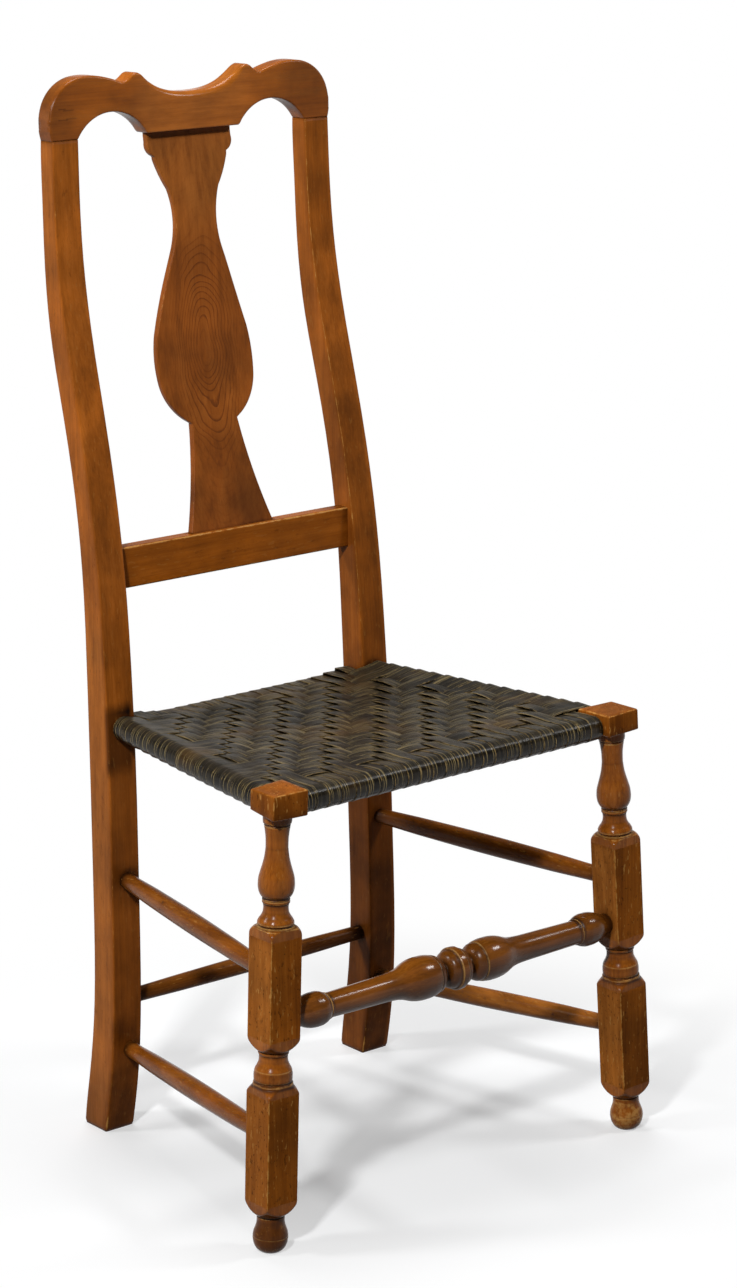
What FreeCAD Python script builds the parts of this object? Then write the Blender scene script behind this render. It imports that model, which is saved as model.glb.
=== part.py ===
"""Splint-seat side chair: turned front legs, sawn curved posts, a yoke crest, a vase splat
and a woven splint seat.

Millimetres. Z is up, the chair faces -Y and X runs across it. The pieces are laid out with the
front legs near y = 0, and the finished chair is centred over the origin at the end.
"""
import FreeCAD, Part
import math
import os

import Sketcher
from FreeCAD import Placement, Rotation, Vector

# Driving sizes
SIZES = {
    # Front legs: square billets turned between the blocks, splayed outward at the feet
    "leg_length": 440.0,
    "leg_square": 34.0,
    "leg_head_square": 38.0,
    "leg_head_height": 21.0,
    "leg_foot_x": 226.0,
    "leg_foot_y": -3.0,
    "leg_head_x": 203.0,
    "foot_base_diameter": 19.0,
    "foot_ball_diameter": 32.6,
    "foot_neck_diameter": 25.6,
    "spool_diameter": 34.4,
    "waist_diameter": 26.4,
    "ring_diameter": 33.6,
    "cove_diameter": 22.6,
    "vase_base_diameter": 29.0,
    "vase_diameter": 32.0,
    "vase_neck_diameter": 22.0,
    "collar_diameter": 25.0,
    # Rear posts: leaning in toward the crest, tapered in width and in depth
    "post_height": 989.0,
    "post_outer_x": 182.9,
    "post_lean": 16.5,
    "post_width": 34.0,
    "post_width_top": 29.6,
    "post_tenon_width": 17.0,
    "post_tenon_depth": 9.0,
    "post_tenon_height": 20.0,
    # Crest rail, splat and lower back rail
    "crest_half_width": 166.4,
    "crest_height": 58.0,
    "crest_thickness": 21.0,
    "crest_saddle": 35.0,
    "crest_arch_rise": 23.5,
    "splat_thickness": 7.5,
    "splat_tongue": 10.0,
    "splat_half_top": 50.8,
    "splat_half_waist": 25.0,
    "splat_half_belly": 58.0,
    "splat_half_neck": 28.0,
    "splat_half_base": 50.5,
    "splat_foot_y": 335.5,
    "splat_head_y": 392.5,
    "rail_bottom": 556.5,
    "rail_top": 597.5,
    "rail_front_y": 330.0,
    "rail_thickness": 17.0,
    "rail_tenon_length": 15.0,
    "rail_tenon_height": 29.0,
    "rail_tenon_thickness": 9.0,
    # Turned front stretcher
    "front_stretcher_tenon": 16.0,
    "front_bead_centre": 169.5,
    "front_bead_diameter": 31.0,
    "front_shaft_diameter": 21.6,
    "front_bulb_centre": 45.0,
    "front_bulb_diameter": 42.0,
    "front_disc_diameter": 40.0,
    # Plain stretchers
    "stick_diameter": 18.4,
    "rear_stick_diameter": 17.4,
    "side_stick_rear_x": 158.0,
    "side_stick_rear_depth": 20.0,
    "rear_stick_depth": 16.0,
    # Seat rails inside the splints
    "seat_rail_diameter": 22.0,
    "seat_tenon_diameter": 11.0,
    "seat_rail_drop": 15.0,
    "side_rail_lift": 1.5,
    "side_rail_fall": 2.5,
    "rear_rail_fall": 12.0,
    "side_rail_rear_x": 156.0,
    "rear_rail_y": 331.0,
    "front_rail_tenon": 14.0,
    "side_rail_front_tenon": 10.0,
    "side_rail_rear_tenon": 9.0,
    "rear_rail_tenon": 13.0,
    # Splints
    "splint_thickness": 1.2,
    "warp_width": 14.7,
    "warp_pitch": 15.27,
    "warp_count": 24,
    "weft_width": 17.6,
    "weft_count": 15,
    "seat_sag": 3.0,
    # Clearance of every tenon in its socket
    "fit": 0.1,
}

# Heights that follow the front legs, as shares of their length
LEG_HEIGHTS = {
    "lower_block_bottom": 0.107,
    "lower_block_top": 0.334,
    "upper_block_bottom": 0.466,
    "upper_block_top": 0.685,
    "vase_base_height": 0.768,
    "front_stretcher_height": 0.5057,
    "upper_stick_front_z": 0.601,
    "upper_stick_rear_z": 0.610,
    "lower_stick_front_z": 0.2466,
    "lower_stick_rear_z": 0.201,
    "rear_stick_z": 0.3125,
}

# Side profile of a post: height as a share of the post, front face and depth there
POST_STATIONS = [
    (0.000, 328.8, 37.6),
    (0.060, 316.8, 39.0),
    (0.121, 310.6, 36.2),
    (0.253, 308.3, 34.7),
    (0.384, 309.0, 35.0),
    (0.485, 313.0, 32.8),
    (0.566, 319.0, 29.8),
    (0.647, 330.3, 27.8),
    (0.728, 347.2, 28.0),
    (0.809, 366.2, 28.6),
    (0.890, 378.9, 24.3),
    (0.950, 382.0, 22.4),
    (1.000, 382.4, 22.0),
]

# Outline of half the splat above the rail: share of a named half width, share of the height, bulge
SPLAT_OUTLINE = [
    ("splat_half_base", 1.000, 0.000, -0.025),
    ("splat_half_neck", 1.000, 0.266, 0.000),
    ("splat_half_neck", 1.055, 0.269, 0.110),
    ("splat_half_belly", 0.974, 0.366, 0.045),
    ("splat_half_belly", 0.947, 0.492, 0.008),
    ("splat_half_waist", 1.200, 0.696, -0.085),
    ("splat_half_waist", 1.200, 0.854, 0.030),
    ("splat_half_top", 0.835, 0.922, 0.060),
    ("splat_half_top", 0.855, 0.938, 0.200),
    ("splat_half_top", 1.000, 0.974, 0.000),
    ("splat_half_top", 1.000, 1.000, 0.000),
]

# Upper outline of half the crest: share of the half width, share of the height, bulge
CREST_OUTLINE = [
    (1.000, 0.000, 0.090),
    (0.988, 0.610, 0.120),
    (0.806, 1.010, 0.050),
    (0.625, 0.990, 0.020),
    (0.499, 0.880, -0.060),
    (0.439, 0.980, 0.160),
    (0.361, 0.980, 0.040),
    (0.325, 0.880, -0.120),
]

doc = FreeCAD.newDocument("SplintSeatChair")
sheet = doc.addObject("Spreadsheet::Sheet", "Sizes")


def put(name, value):
    """Write one size in the next row of the sheet, under its name."""
    row = put.row
    sheet.set(f"A{row}", name)
    sheet.set(f"B{row}", str(value))
    sheet.setAlias(f"B{row}", name)
    put.row += 1


put.row = 1
for size_name, size_value in SIZES.items():
    put(size_name, size_value)
for height_name, height_share in LEG_HEIGHTS.items():
    put(height_name, round(SIZES["leg_length"] * height_share, 4))
front_rail_level = SIZES["leg_length"] - SIZES["seat_rail_drop"]
side_rail_level = front_rail_level + SIZES["side_rail_lift"]
put("front_rail_z", front_rail_level)
put("side_rail_front_z", side_rail_level)
put("side_rail_rear_z", side_rail_level - SIZES["side_rail_fall"])
put("rear_rail_z", front_rail_level - SIZES["rear_rail_fall"])
for number, (share, front, depth) in enumerate(POST_STATIONS):
    put(f"post_front_{number}", front)
    put(f"post_depth_{number}", depth)
doc.recompute()


class Size:
    """A length that knows its value and the sheet expression that gives it."""

    def __init__(self, value, text):
        self.value = float(value)
        self.text = text

    def __add__(self, other):
        other = as_size(other)
        return Size(self.value + other.value, f"({self.text} + {other.text})")

    def __sub__(self, other):
        other = as_size(other)
        return Size(self.value - other.value, f"({self.text} - {other.text})")

    def __mul__(self, factor):
        return Size(self.value * factor, f"({self.text} * {factor})")

    def __truediv__(self, factor):
        return Size(self.value / factor, f"({self.text} / {factor})")

    def __neg__(self):
        return Size(-self.value, f"(-1 * {self.text})")


def as_size(value):
    """Take a plain number as a fixed length."""
    return value if isinstance(value, Size) else Size(value, f"({value})")


def size(name):
    """The size of that name in the sheet."""
    return Size(sheet.get(name), f"Sizes.{name}")


def mm(name):
    """The plain value of a size."""
    return float(sheet.get(name))


def span(across, up):
    """Length of the slope of two lengths."""
    return Size(math.hypot(across.value, up.value), f"sqrt({across.text}^2 + {up.text}^2)")


# Sketches
def origin_plane(body, role):
    """The origin plane of a body that has this role."""
    return [item for item in body.Origin.OriginFeatures if item.Role == role][0]


def new_body(name):
    """An empty body."""
    return doc.addObject("PartDesign::Body", name)


def new_sketch(body, name, plane, lift=None):
    """An empty sketch on an origin plane, raised along its normal where lift is given."""
    sketch = body.newObject("Sketcher::SketchObject", name)
    sketch.AttachmentSupport = (origin_plane(body, plane), [""])
    sketch.MapMode = "FlatFace"
    if lift is not None:
        lift = as_size(lift)
        sketch.AttachmentOffset = Placement(Vector(0, 0, lift.value), Rotation())
        sketch.setExpression("AttachmentOffset.Base.z", lift.text)
    return sketch


def bind(sketch, constraint, length):
    """Add a driving constraint whose value comes from the sheet."""
    index = sketch.addConstraint(constraint)
    sketch.setExpression(f"Constraints[{index}]", length.text)


def draw(sketch, path):
    """Draw a closed outline. Each corner is (across, up) or (across, up, bulge).

    A bulge is the rise of the arc to the next corner as a share of its chord. It is positive
    where the arc swells to the right of the way along the outline.
    """
    corners = [(as_size(corner[0]), as_size(corner[1])) for corner in path]
    bulges = [corner[2] if len(corner) > 2 else 0.0 for corner in path]
    ends = []
    for start, stop, bulge in zip(corners, corners[1:] + corners[:1], bulges):
        a = Vector(start[0].value, start[1].value, 0)
        b = Vector(stop[0].value, stop[1].value, 0)
        if bulge == 0:
            edge = sketch.addGeometry(Part.LineSegment(a, b), False)
            ends.append((edge, 1, 2))
            continue
        right = Vector(b.y - a.y, a.x - b.x, 0)
        middle = (a + b) * 0.5 + right * bulge
        if bulge > 0:
            edge = sketch.addGeometry(Part.ArcOfCircle(a, middle, b), False)
            ends.append((edge, 1, 2))
        else:
            edge = sketch.addGeometry(Part.ArcOfCircle(b, middle, a), False)
            ends.append((edge, 2, 1))
    for index, (edge, first, last) in enumerate(ends):
        following = ends[(index + 1) % len(ends)]
        sketch.addConstraint(Sketcher.Constraint("Coincident", edge, last, following[0], following[1]))
        across, up = corners[index]
        bind(sketch, Sketcher.Constraint("DistanceX", -1, 1, edge, first, across.value), across)
        bind(sketch, Sketcher.Constraint("DistanceY", -1, 1, edge, first, up.value), up)
        bulge = bulges[index]
        if bulge != 0:
            next_across, next_up = corners[(index + 1) % len(corners)]
            chord = span(next_across - across, next_up - up)
            radius = chord * ((0.25 + bulge * bulge) / (2 * abs(bulge)))
            bind(sketch, Sketcher.Constraint("Radius", edge, radius.value), radius)


def rectangle(left, bottom, right, top):
    """Corners of a rectangle."""
    return [(left, bottom), (right, bottom), (right, top), (left, top)]


def pad(body, name, sketch, length, both_ways=False):
    """Pad a sketch by a length from the sheet, forward or to both sides of its plane."""
    feature = body.newObject("PartDesign::Pad", name)
    feature.Profile = sketch
    length = as_size(length)
    feature.Length = length.value
    feature.setExpression("Length", length.text)
    feature.Midplane = both_ways
    body.Tip = feature
    return feature


def turned(body, name, sketch, kind="PartDesign::Revolution"):
    """Turn a sketch all the way round its upright axis."""
    feature = body.newObject(kind, name)
    feature.Profile = sketch
    feature.ReferenceAxis = (sketch, ["V_Axis"])
    feature.Angle = 360
    body.Tip = feature
    return feature


def along(start, stop):
    """Placement that stands the local Z axis on the way from one point to another."""
    return Placement(start, Rotation(Vector(0, 0, 1), stop - start))


def bore(name, owner, start, stop, diameter):
    """A round drill from start to stop, in the frame of the piece that it bores."""
    drill = doc.addObject("Part::Cylinder", name)
    diameter = diameter + size("fit") * 2
    drill.Radius = diameter.value / 2
    drill.setExpression("Radius", (diameter / 2).text)
    drill.Height = (stop - start).Length
    drill.Placement = owner.inverse() * along(start, stop)
    return drill


def mortise(name, owner, corner, width, depth, height):
    """A square-cornered hole with its least corner at the given point."""
    block = doc.addObject("Part::Box", name)
    for side, length in (("Length", width), ("Width", depth), ("Height", height)):
        length = as_size(length)
        setattr(block, side, length.value)
        block.setExpression(side, length.text)
    block.Placement = owner.inverse() * Placement(corner, Rotation())
    return block


def cut(label, base, tools, place):
    """Take the tools out of a body, and put the result in its place in the chair."""
    bundle = doc.addObject("Part::Compound", f"{label}_sockets")
    bundle.Links = tools
    piece = doc.addObject("Part::Cut", f"{label}_piece")
    piece.Base = base
    piece.Tool = bundle
    piece.Label = label
    piece.Placement = place
    return piece


# Places of the joints
def leg_point(side, height):
    """Point on the axis of a front leg at a height over the floor."""
    share = height / mm("leg_length")
    across = mm("leg_foot_x") + (mm("leg_head_x") - mm("leg_foot_x")) * share
    return Vector(side * across, mm("leg_foot_y") * (1 - share), height)


def leg_place(side):
    """Placement of a front leg, which leans in toward its head."""
    return along(leg_point(side, 0), leg_point(side, mm("leg_length")))


def post_outer(height):
    """Distance from the middle of the chair to the outer face of a post."""
    return mm("post_outer_x") - mm("post_lean") * height / mm("post_height")


def post_inner(height):
    """Distance from the middle of the chair to the inner face of a post."""
    taper = mm("post_width_top") - mm("post_width")
    return post_outer(height) - mm("post_width") - taper * height / mm("post_height")


def side_stick_ends(side, level):
    """Both ends of a side stretcher, in the leg and in the post."""
    front = leg_point(side, mm(f"{level}_stick_front_z"))
    rear_y = mm("post_front_3") + mm("side_stick_rear_depth")
    rear = Vector(side * mm("side_stick_rear_x"), rear_y, mm(f"{level}_stick_rear_z"))
    return front, rear


def rear_stick_end(side):
    """End of the rear stretcher in a post."""
    height = mm("rear_stick_z")
    middle = mm("post_front_2") + mm("post_depth_2") / 2
    return Vector(side * (post_inner(height) + mm("rear_stick_depth")), middle, height)


def front_stretcher_end(side):
    """End of the front stretcher in a leg."""
    return leg_point(side, mm("front_stretcher_height"))


def front_rail_end(side):
    """End of the front seat rail in the head of a leg."""
    head = leg_point(side, mm("front_rail_z"))
    reach = abs(head.x) - mm("leg_head_square") / 2 + mm("front_rail_tenon")
    return Vector(side * reach, 0, mm("front_rail_z"))


def side_rail_ends(side):
    """Both ends of a side seat rail, in the leg and in the post."""
    head = leg_point(side, mm("side_rail_front_z"))
    front_y = mm("leg_head_square") / 2 - mm("side_rail_front_tenon")
    front = Vector(head.x, front_y, mm("side_rail_front_z"))
    rear_y = mm("post_front_4") + mm("side_rail_rear_tenon") + 2
    rear = Vector(side * mm("side_rail_rear_x"), rear_y, mm("side_rail_rear_z"))
    return front, rear


def rear_rail_end(side):
    """End of the rear seat rail in a post."""
    height = mm("rear_rail_z")
    return Vector(side * (post_inner(height) + mm("rear_rail_tenon")), mm("rear_rail_y"), height)


SIDES = (("left", -1), ("right", 1))


# Front legs: the billet is squared, then turned between the blocks, and the foot is levelled
def make_leg(name, side):
    body = new_body(f"leg_{name}_body")
    square = size("leg_square") / 2
    head = size("leg_head_square") / 2
    corner = square * math.sqrt(2)
    rim = head * 1.6
    length = size("leg_length")
    neck_line = length - size("leg_head_height")
    spare = 3.0

    billet = new_sketch(body, f"leg_{name}_billet_outline", "XY_Plane", -spare)
    draw(billet, rectangle(-square, -square, square, square))
    pad(body, f"leg_{name}_billet", billet, neck_line + spare)
    block = new_sketch(body, f"leg_{name}_head_outline", "XY_Plane", neck_line)
    draw(block, rectangle(-head, -head, head, head))
    pad(body, f"leg_{name}_head", block, size("leg_head_height"))

    base = size("foot_base_diameter") / 2
    ball = size("foot_ball_diameter") / 2
    foot_neck = size("foot_neck_diameter") / 2
    low = size("lower_block_bottom")
    turning = new_sketch(body, f"leg_{name}_turning", "XZ_Plane")
    draw(turning, [
        (base, -spare),
        (ball, low * 0.26),
        (ball, low * 0.49),
        (foot_neck, low * 0.68),
        (foot_neck, low * 0.75),
        (corner, low),
        (rim, low),
        (rim, -spare),
    ])

    low = size("lower_block_top")
    spool = size("spool_diameter") / 2
    waist = size("waist_diameter") / 2
    high = size("upper_block_bottom")
    draw(turning, [
        (rim, low),
        (corner, low),
        (waist * 1.06, low + length * 0.025),
        (waist * 1.06, low + length * 0.032),
        (spool, low + length * 0.043),
        (spool, low + length * 0.066),
        (waist, high - length * 0.039),
        (corner, high),
        (rim, high),
    ])

    low = size("upper_block_top")
    ring = size("ring_diameter") / 2
    cove = size("cove_diameter") / 2
    vase_foot = size("vase_base_height")
    vase_base = size("vase_base_diameter") / 2
    vase = size("vase_diameter") / 2
    neck = size("vase_neck_diameter") / 2
    collar = size("collar_diameter") / 2
    draw(turning, [
        (rim, low),
        (corner, low),
        (ring * 0.80, low + length * 0.025),
        (ring, low + length * 0.033),
        (ring, low + length * 0.043),
        (cove, low + length * 0.061),
        (vase_base, vase_foot - length * 0.007),
        (vase_base, vase_foot),
        (vase, vase_foot + length * 0.018),
        (vase * 0.97, vase_foot + length * 0.043),
        (vase * 0.81, vase_foot + length * 0.080),
        (neck, neck_line - length * 0.035),
        (collar, neck_line - length * 0.030),
        (collar, neck_line - length * 0.014),
        (head * 0.8, neck_line),
        (rim, neck_line),
    ])
    turned(body, f"leg_{name}_lathe_cut", turning, "PartDesign::Groove")

    place = leg_place(side)
    tools = []
    for level in ("upper", "lower"):
        front, rear = side_stick_ends(side, level)
        tools.append(bore(f"leg_{name}_{level}_bore", place, front, rear, size("stick_diameter")))
    end = front_stretcher_end(side)
    far = front_stretcher_end(-side)
    tools.append(bore(f"leg_{name}_front_bore", place, end, (end + far) * 0.5, size("front_stretcher_tenon")))
    end = front_rail_end(side)
    far = front_rail_end(-side)
    tools.append(bore(f"leg_{name}_rail_bore", place, end, (end + far) * 0.5, size("seat_tenon_diameter")))
    front, rear = side_rail_ends(side)
    tools.append(bore(f"leg_{name}_side_rail_bore", place, front, rear, size("seat_tenon_diameter")))
    reach = mm("leg_square") * 2
    floor = Vector(side * mm("leg_foot_x") - reach, -reach, -reach)
    tools.append(mortise(f"leg_{name}_level", place, floor, 2 * reach, 2 * reach, reach))
    return cut(f"front_leg_{name}", body, tools, place)


# Rear posts: lofted through sections that follow the side profile, with a tenon for the crest
def make_post(name, side):
    body = new_body(f"post_{name}_body")
    sections = []
    for number, (share, front, depth) in enumerate(POST_STATIONS):
        outer = size("post_outer_x") - size("post_lean") * share
        width = size("post_width") * (1 - share) + size("post_width_top") * share
        inner = outer - width
        near = size(f"post_front_{number}")
        back = near + size(f"post_depth_{number}")
        section = new_sketch(body, f"post_{name}_section_{number}", "XY_Plane", size("post_height") * share)
        if side > 0:
            draw(section, rectangle(inner, near, outer, back))
        else:
            draw(section, rectangle(-outer, near, -inner, back))
        sections.append(section)
    loft = body.newObject("PartDesign::AdditiveLoft", f"post_{name}_sweep")
    loft.Profile = sections[0]
    loft.Sections = sections[1:]
    body.Tip = loft

    top = len(POST_STATIONS) - 1
    half = size("post_tenon_width") / 2
    thick = size("post_tenon_depth") / 2
    centre_x = (size("post_outer_x") - size("post_lean") - size("post_width_top") / 2) * side
    centre_y = size(f"post_front_{top}") + size(f"post_depth_{top}") / 2
    tenon = new_sketch(body, f"post_{name}_tenon_outline", "XY_Plane", size("post_height"))
    draw(tenon, rectangle(centre_x - half, centre_y - thick, centre_x + half, centre_y + thick))
    pad(body, f"post_{name}_tenon", tenon, size("post_tenon_height"))

    place = Placement()
    tools = []
    for level in ("upper", "lower"):
        front, rear = side_stick_ends(side, level)
        tools.append(bore(f"post_{name}_{level}_bore", place, rear, front, size("stick_diameter")))
    end = rear_stick_end(side)
    far = rear_stick_end(-side)
    tools.append(bore(f"post_{name}_rear_bore", place, end, (end + far) * 0.5, size("rear_stick_diameter")))
    front, rear = side_rail_ends(side)
    tools.append(bore(f"post_{name}_side_rail_bore", place, rear, front, size("seat_tenon_diameter")))
    end = rear_rail_end(side)
    far = rear_rail_end(-side)
    tools.append(bore(f"post_{name}_rail_bore", place, end, (end + far) * 0.5, size("seat_tenon_diameter")))
    slack = mm("fit")
    middle = (mm("rail_bottom") + mm("rail_top")) / 2
    reach = post_inner(middle) + mm("rail_tenon_length")
    corner_x = reach - 2 * mm("rail_tenon_length") if side > 0 else -reach
    corner_y = mm("rail_front_y") + (mm("rail_thickness") - mm("rail_tenon_thickness")) / 2 - slack
    corner_z = middle - mm("rail_tenon_height") / 2 - slack
    tools.append(mortise(
        f"post_{name}_mortise",
        place,
        Vector(corner_x, corner_y, corner_z),
        size("rail_tenon_length") * 2,
        size("rail_tenon_thickness") + size("fit") * 2,
        size("rail_tenon_height") + size("fit") * 2,
    ))
    return cut(f"post_{name}", body, tools, place)


# Crest rail: sawn to the yoke outline, with arches between the posts and the splat
def make_crest():
    body = new_body("crest_body")
    top = len(POST_STATIONS) - 1
    half = size("crest_half_width")
    height = size("crest_height")
    base = size("post_height")
    inner = half - size("post_width_top")
    middle = half / 3
    rise = mm("crest_arch_rise") / (inner - middle).value
    bulges = [bulge for across, up, bulge in CREST_OUTLINE]
    outline = [(middle, base, -rise), (inner, base)]
    outline += [(half * across, base + height * up, bulge) for across, up, bulge in CREST_OUTLINE]
    outline.append((as_size(0), base + size("crest_saddle"), bulges[-1]))
    for index in reversed(range(len(CREST_OUTLINE))):
        across, up, bulge = CREST_OUTLINE[index]
        swell = bulges[index - 1] if index > 0 else 0.0
        outline.append((half * -across, base + height * up, swell))
    outline += [(-inner, base, -rise), (-middle, base)]

    face = new_sketch(body, "crest_outline", "XZ_Plane", -(size(f"post_front_{top}") + 0.5) - size("crest_thickness"))
    draw(face, outline)
    pad(body, "crest_board", face, size("crest_thickness"))

    place = Placement()
    tools = []
    slack = mm("fit")
    centre_y = mm(f"post_front_{top}") + mm(f"post_depth_{top}") / 2
    for name, side in SIDES:
        centre_x = side * (mm("post_outer_x") - mm("post_lean") - mm("post_width_top") / 2)
        corner = Vector(
            centre_x - mm("post_tenon_width") / 2 - slack,
            centre_y - mm("post_tenon_depth") / 2 - slack,
            mm("post_height"),
        )
        tools.append(mortise(
            f"crest_mortise_{name}",
            place,
            corner,
            size("post_tenon_width") + size("fit") * 2,
            size("post_tenon_depth") + size("fit") * 2,
            size("post_tenon_height"),
        ))
    wide = size("splat_half_top") * 0.85
    corner = Vector(-wide.value - slack, mm("splat_head_y") - slack, mm("post_height"))
    tools.append(mortise(
        "crest_splat_mortise",
        place,
        corner,
        wide * 2 + size("fit") * 2,
        size("splat_thickness") + size("fit") * 2,
        size("splat_tongue"),
    ))
    return cut("crest_rail", body, tools, place)


# Splat: the spooned board is sawn from the side, and the vase outline from the front
def make_splat():
    low = size("rail_top")
    high = size("post_height")
    height = high - low
    tongue = size("splat_tongue")
    thick = size("splat_thickness")
    foot = size("splat_foot_y")
    head = size("splat_head_y")
    lean = head - foot

    side_body = new_body("splat_spoon_body")
    spoon = new_sketch(side_body, "splat_spoon", "YZ_Plane")
    draw(spoon, [
        (foot + thick, low - tongue),
        (foot + thick, low),
        (foot + thick + lean * 0.54, low + height * 0.322, 0.030),
        (foot + thick + lean * 0.805, low + height * 0.645, -0.020),
        (head + thick, high - 4.0),
        (head + thick, high + tongue),
        (head, high + tongue),
        (head, high - 4.0, 0.020),
        (foot + lean * 0.805, low + height * 0.645, -0.030),
        (foot + lean * 0.54, low + height * 0.322),
        (foot, low),
        (foot, low - tongue),
    ])
    pad(side_body, "splat_board", spoon, size("splat_half_belly") * 3, True)

    front_body = new_body("splat_vase_body")
    right = [(size(name) * across, low + height * up, bulge) for name, across, up, bulge in SPLAT_OUTLINE]
    left = []
    for index, (name, across, up, bulge) in enumerate(SPLAT_OUTLINE):
        swell = SPLAT_OUTLINE[index - 1][3] if index > 0 else 0.0
        left.insert(0, (size(name) * -across, low + height * up, swell))
    wide = size("splat_half_top") * 0.85
    narrow = size("splat_half_base") * 0.85
    path = [(-narrow, low - tongue), (narrow, low - tongue), (narrow, low)]
    path += right
    path += [(wide, high), (wide, high + tongue), (-wide, high + tongue), (-wide, high)]
    path += left
    path += [(-narrow, low)]
    vase = new_sketch(front_body, "splat_vase", "XZ_Plane", -(head + thick * 4))
    draw(vase, path)
    pad(front_body, "splat_vase_block", vase, lean + thick * 8)

    piece = doc.addObject("Part::Common", "splat_piece")
    piece.Base = side_body
    piece.Tool = front_body
    piece.Label = "splat"
    return piece


# Lower back rail: a board between the posts, tenoned at both ends and grooved for the splat
def make_back_rail():
    body = new_body("back_rail_body")
    low = size("rail_bottom")
    high = size("rail_top")
    lean = size("post_lean") + (size("post_width_top") - size("post_width"))
    inner = size("post_outer_x") - size("post_width")
    share_low = mm("rail_bottom") / mm("post_height")
    share_high = mm("rail_top") / mm("post_height")
    wide_low = inner - lean * share_low
    wide_high = inner - lean * share_high
    front = size("rail_front_y")
    thick = size("rail_thickness")
    face = new_sketch(body, "back_rail_outline", "XZ_Plane", -(front + thick))
    draw(face, [(-wide_low, low), (wide_low, low), (wide_high, high), (-wide_high, high)])
    pad(body, "back_rail_board", face, thick)

    middle = (low + high) / 2
    half = size("rail_tenon_height") / 2
    reach = inner - lean * ((share_low + share_high) / 2) + size("rail_tenon_length")
    inset = (thick - size("rail_tenon_thickness")) / 2
    tongue = new_sketch(body, "back_rail_tenons", "XZ_Plane", -(front + thick - inset))
    draw(tongue, rectangle(-reach, middle - half, reach, middle + half))
    pad(body, "back_rail_tenon", tongue, size("rail_tenon_thickness"))

    narrow = size("splat_half_base") * 0.85
    slack = mm("fit")
    corner = Vector(-narrow.value - slack, mm("splat_foot_y") - slack, mm("rail_top") - mm("splat_tongue"))
    groove = mortise(
        "back_rail_mortise",
        Placement(),
        corner,
        narrow * 2 + size("fit") * 2,
        size("splat_thickness") + size("fit") * 2,
        size("splat_tongue"),
    )
    return cut("lower_back_rail", body, [groove], Placement())


# Front stretcher: one turning, the same to both sides of its middle disc
def make_front_stretcher():
    start = front_stretcher_end(-1)
    stop = front_stretcher_end(1)
    put("front_stretcher_length", round((stop - start).Length, 4))
    doc.recompute()
    half = size("front_stretcher_length") / 2
    tenon = size("front_stretcher_tenon") / 2
    bead = size("front_bead_diameter") / 2
    bead_at = size("front_bead_centre")
    shaft = size("front_shaft_diameter") / 2
    bulb = size("front_bulb_diameter") / 2
    bulb_at = size("front_bulb_centre")
    disc = size("front_disc_diameter") / 2
    half_path = [
        (disc, bulb_at * 0.10),
        (disc * 0.62, bulb_at * 0.24),
        (bulb * 0.85, bulb_at * 0.44),
        (bulb, bulb_at * 0.82),
        (bulb, bulb_at * 1.04),
        (bulb * 0.88, bulb_at * 1.27),
        (shaft * 1.20, bulb_at * 1.60),
        (shaft, bulb_at * 1.95),
        (shaft, bead_at - 15.0),
        (bead, bead_at - 6.0),
        (bead, bead_at + 6.0),
        (tenon, half - 20.0),
        (tenon, half),
        (as_size(0), half),
    ]
    path = [(across, -up) for across, up in reversed(half_path)] + half_path
    body = new_body("front_stretcher")
    profile = new_sketch(body, "front_stretcher_profile", "XZ_Plane")
    draw(profile, path)
    turned(body, "front_stretcher_turning", profile)
    body.Placement = along((start + stop) * 0.5, stop)
    return body


# Plain stretchers: round sticks, whose ends are their own tenons
def make_stick(label, start, stop, diameter):
    put(f"{label}_length", round((stop - start).Length, 4))
    doc.recompute()
    length = size(f"{label}_length")
    radius = diameter / 2
    body = new_body(label)
    profile = new_sketch(body, f"{label}_profile", "XZ_Plane")
    draw(profile, rectangle(as_size(0), as_size(0), radius, length))
    turned(body, f"{label}_turning", profile)
    body.Placement = along(start, stop)
    return body


# Seat rails: bars shaved to eight sides, thinned to tenons at both ends
def make_seat_rail(label, start, stop, tenon_start, tenon_stop):
    put(f"{label}_length", round((stop - start).Length, 4))
    doc.recompute()
    length = size(f"{label}_length")
    angles = [math.pi * (2 * corner + 1) / 8 for corner in range(8)]
    eighths = [(round(math.cos(angle), 6), round(math.sin(angle), 6)) for angle in angles]
    shoulder = tenon_start + 2.5
    bars = [
        ("tenons", size("seat_tenon_diameter") / 2, as_size(0), length),
        ("bar", size("seat_rail_diameter") / 2, shoulder, length - shoulder - tenon_stop - 2.5),
    ]
    body = new_body(label)
    for name, reach, lift, run in bars:
        outline = new_sketch(body, f"{label}_{name}_outline", "XY_Plane", lift)
        draw(outline, [(reach * across, reach * up) for across, up in eighths])
        pad(body, f"{label}_{name}", outline, run)
    body.Placement = along(start, stop)
    return body


# Splints: flat strips round the rails, the lengthwise ones over the crosswise ones
FACETS = 4
WARP_BENDS = (0.28, 0.72)
WEFT_BENDS = (0.4, 0.84)


def wrap(centre_across, centre_up, radius, first, last):
    """Flat bends round a half circle, from one angle to another in degrees, outside the circle."""
    turn = (last - first) / FACETS
    reach = radius / math.cos(math.radians(turn) / 2)
    points = []
    for step in range(FACETS):
        angle = math.radians(first + turn * (step + 0.5))
        points.append((centre_across + reach * math.cos(angle), centre_up + reach * math.sin(angle)))
    return points


def rail_clear():
    """Radius of a strip's inner face where it lies on the rail."""
    return mm("seat_rail_diameter") / 2 + mm("fit")


def side_rail_at(depth):
    """Half width and height of the side rails' axes at a distance behind the front rail."""
    front, rear = side_rail_ends(1)
    share = (depth - front.y) / (rear.y - front.y)
    return front.x + (rear.x - front.x) * share, front.z + (rear.z - front.z) * share


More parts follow.
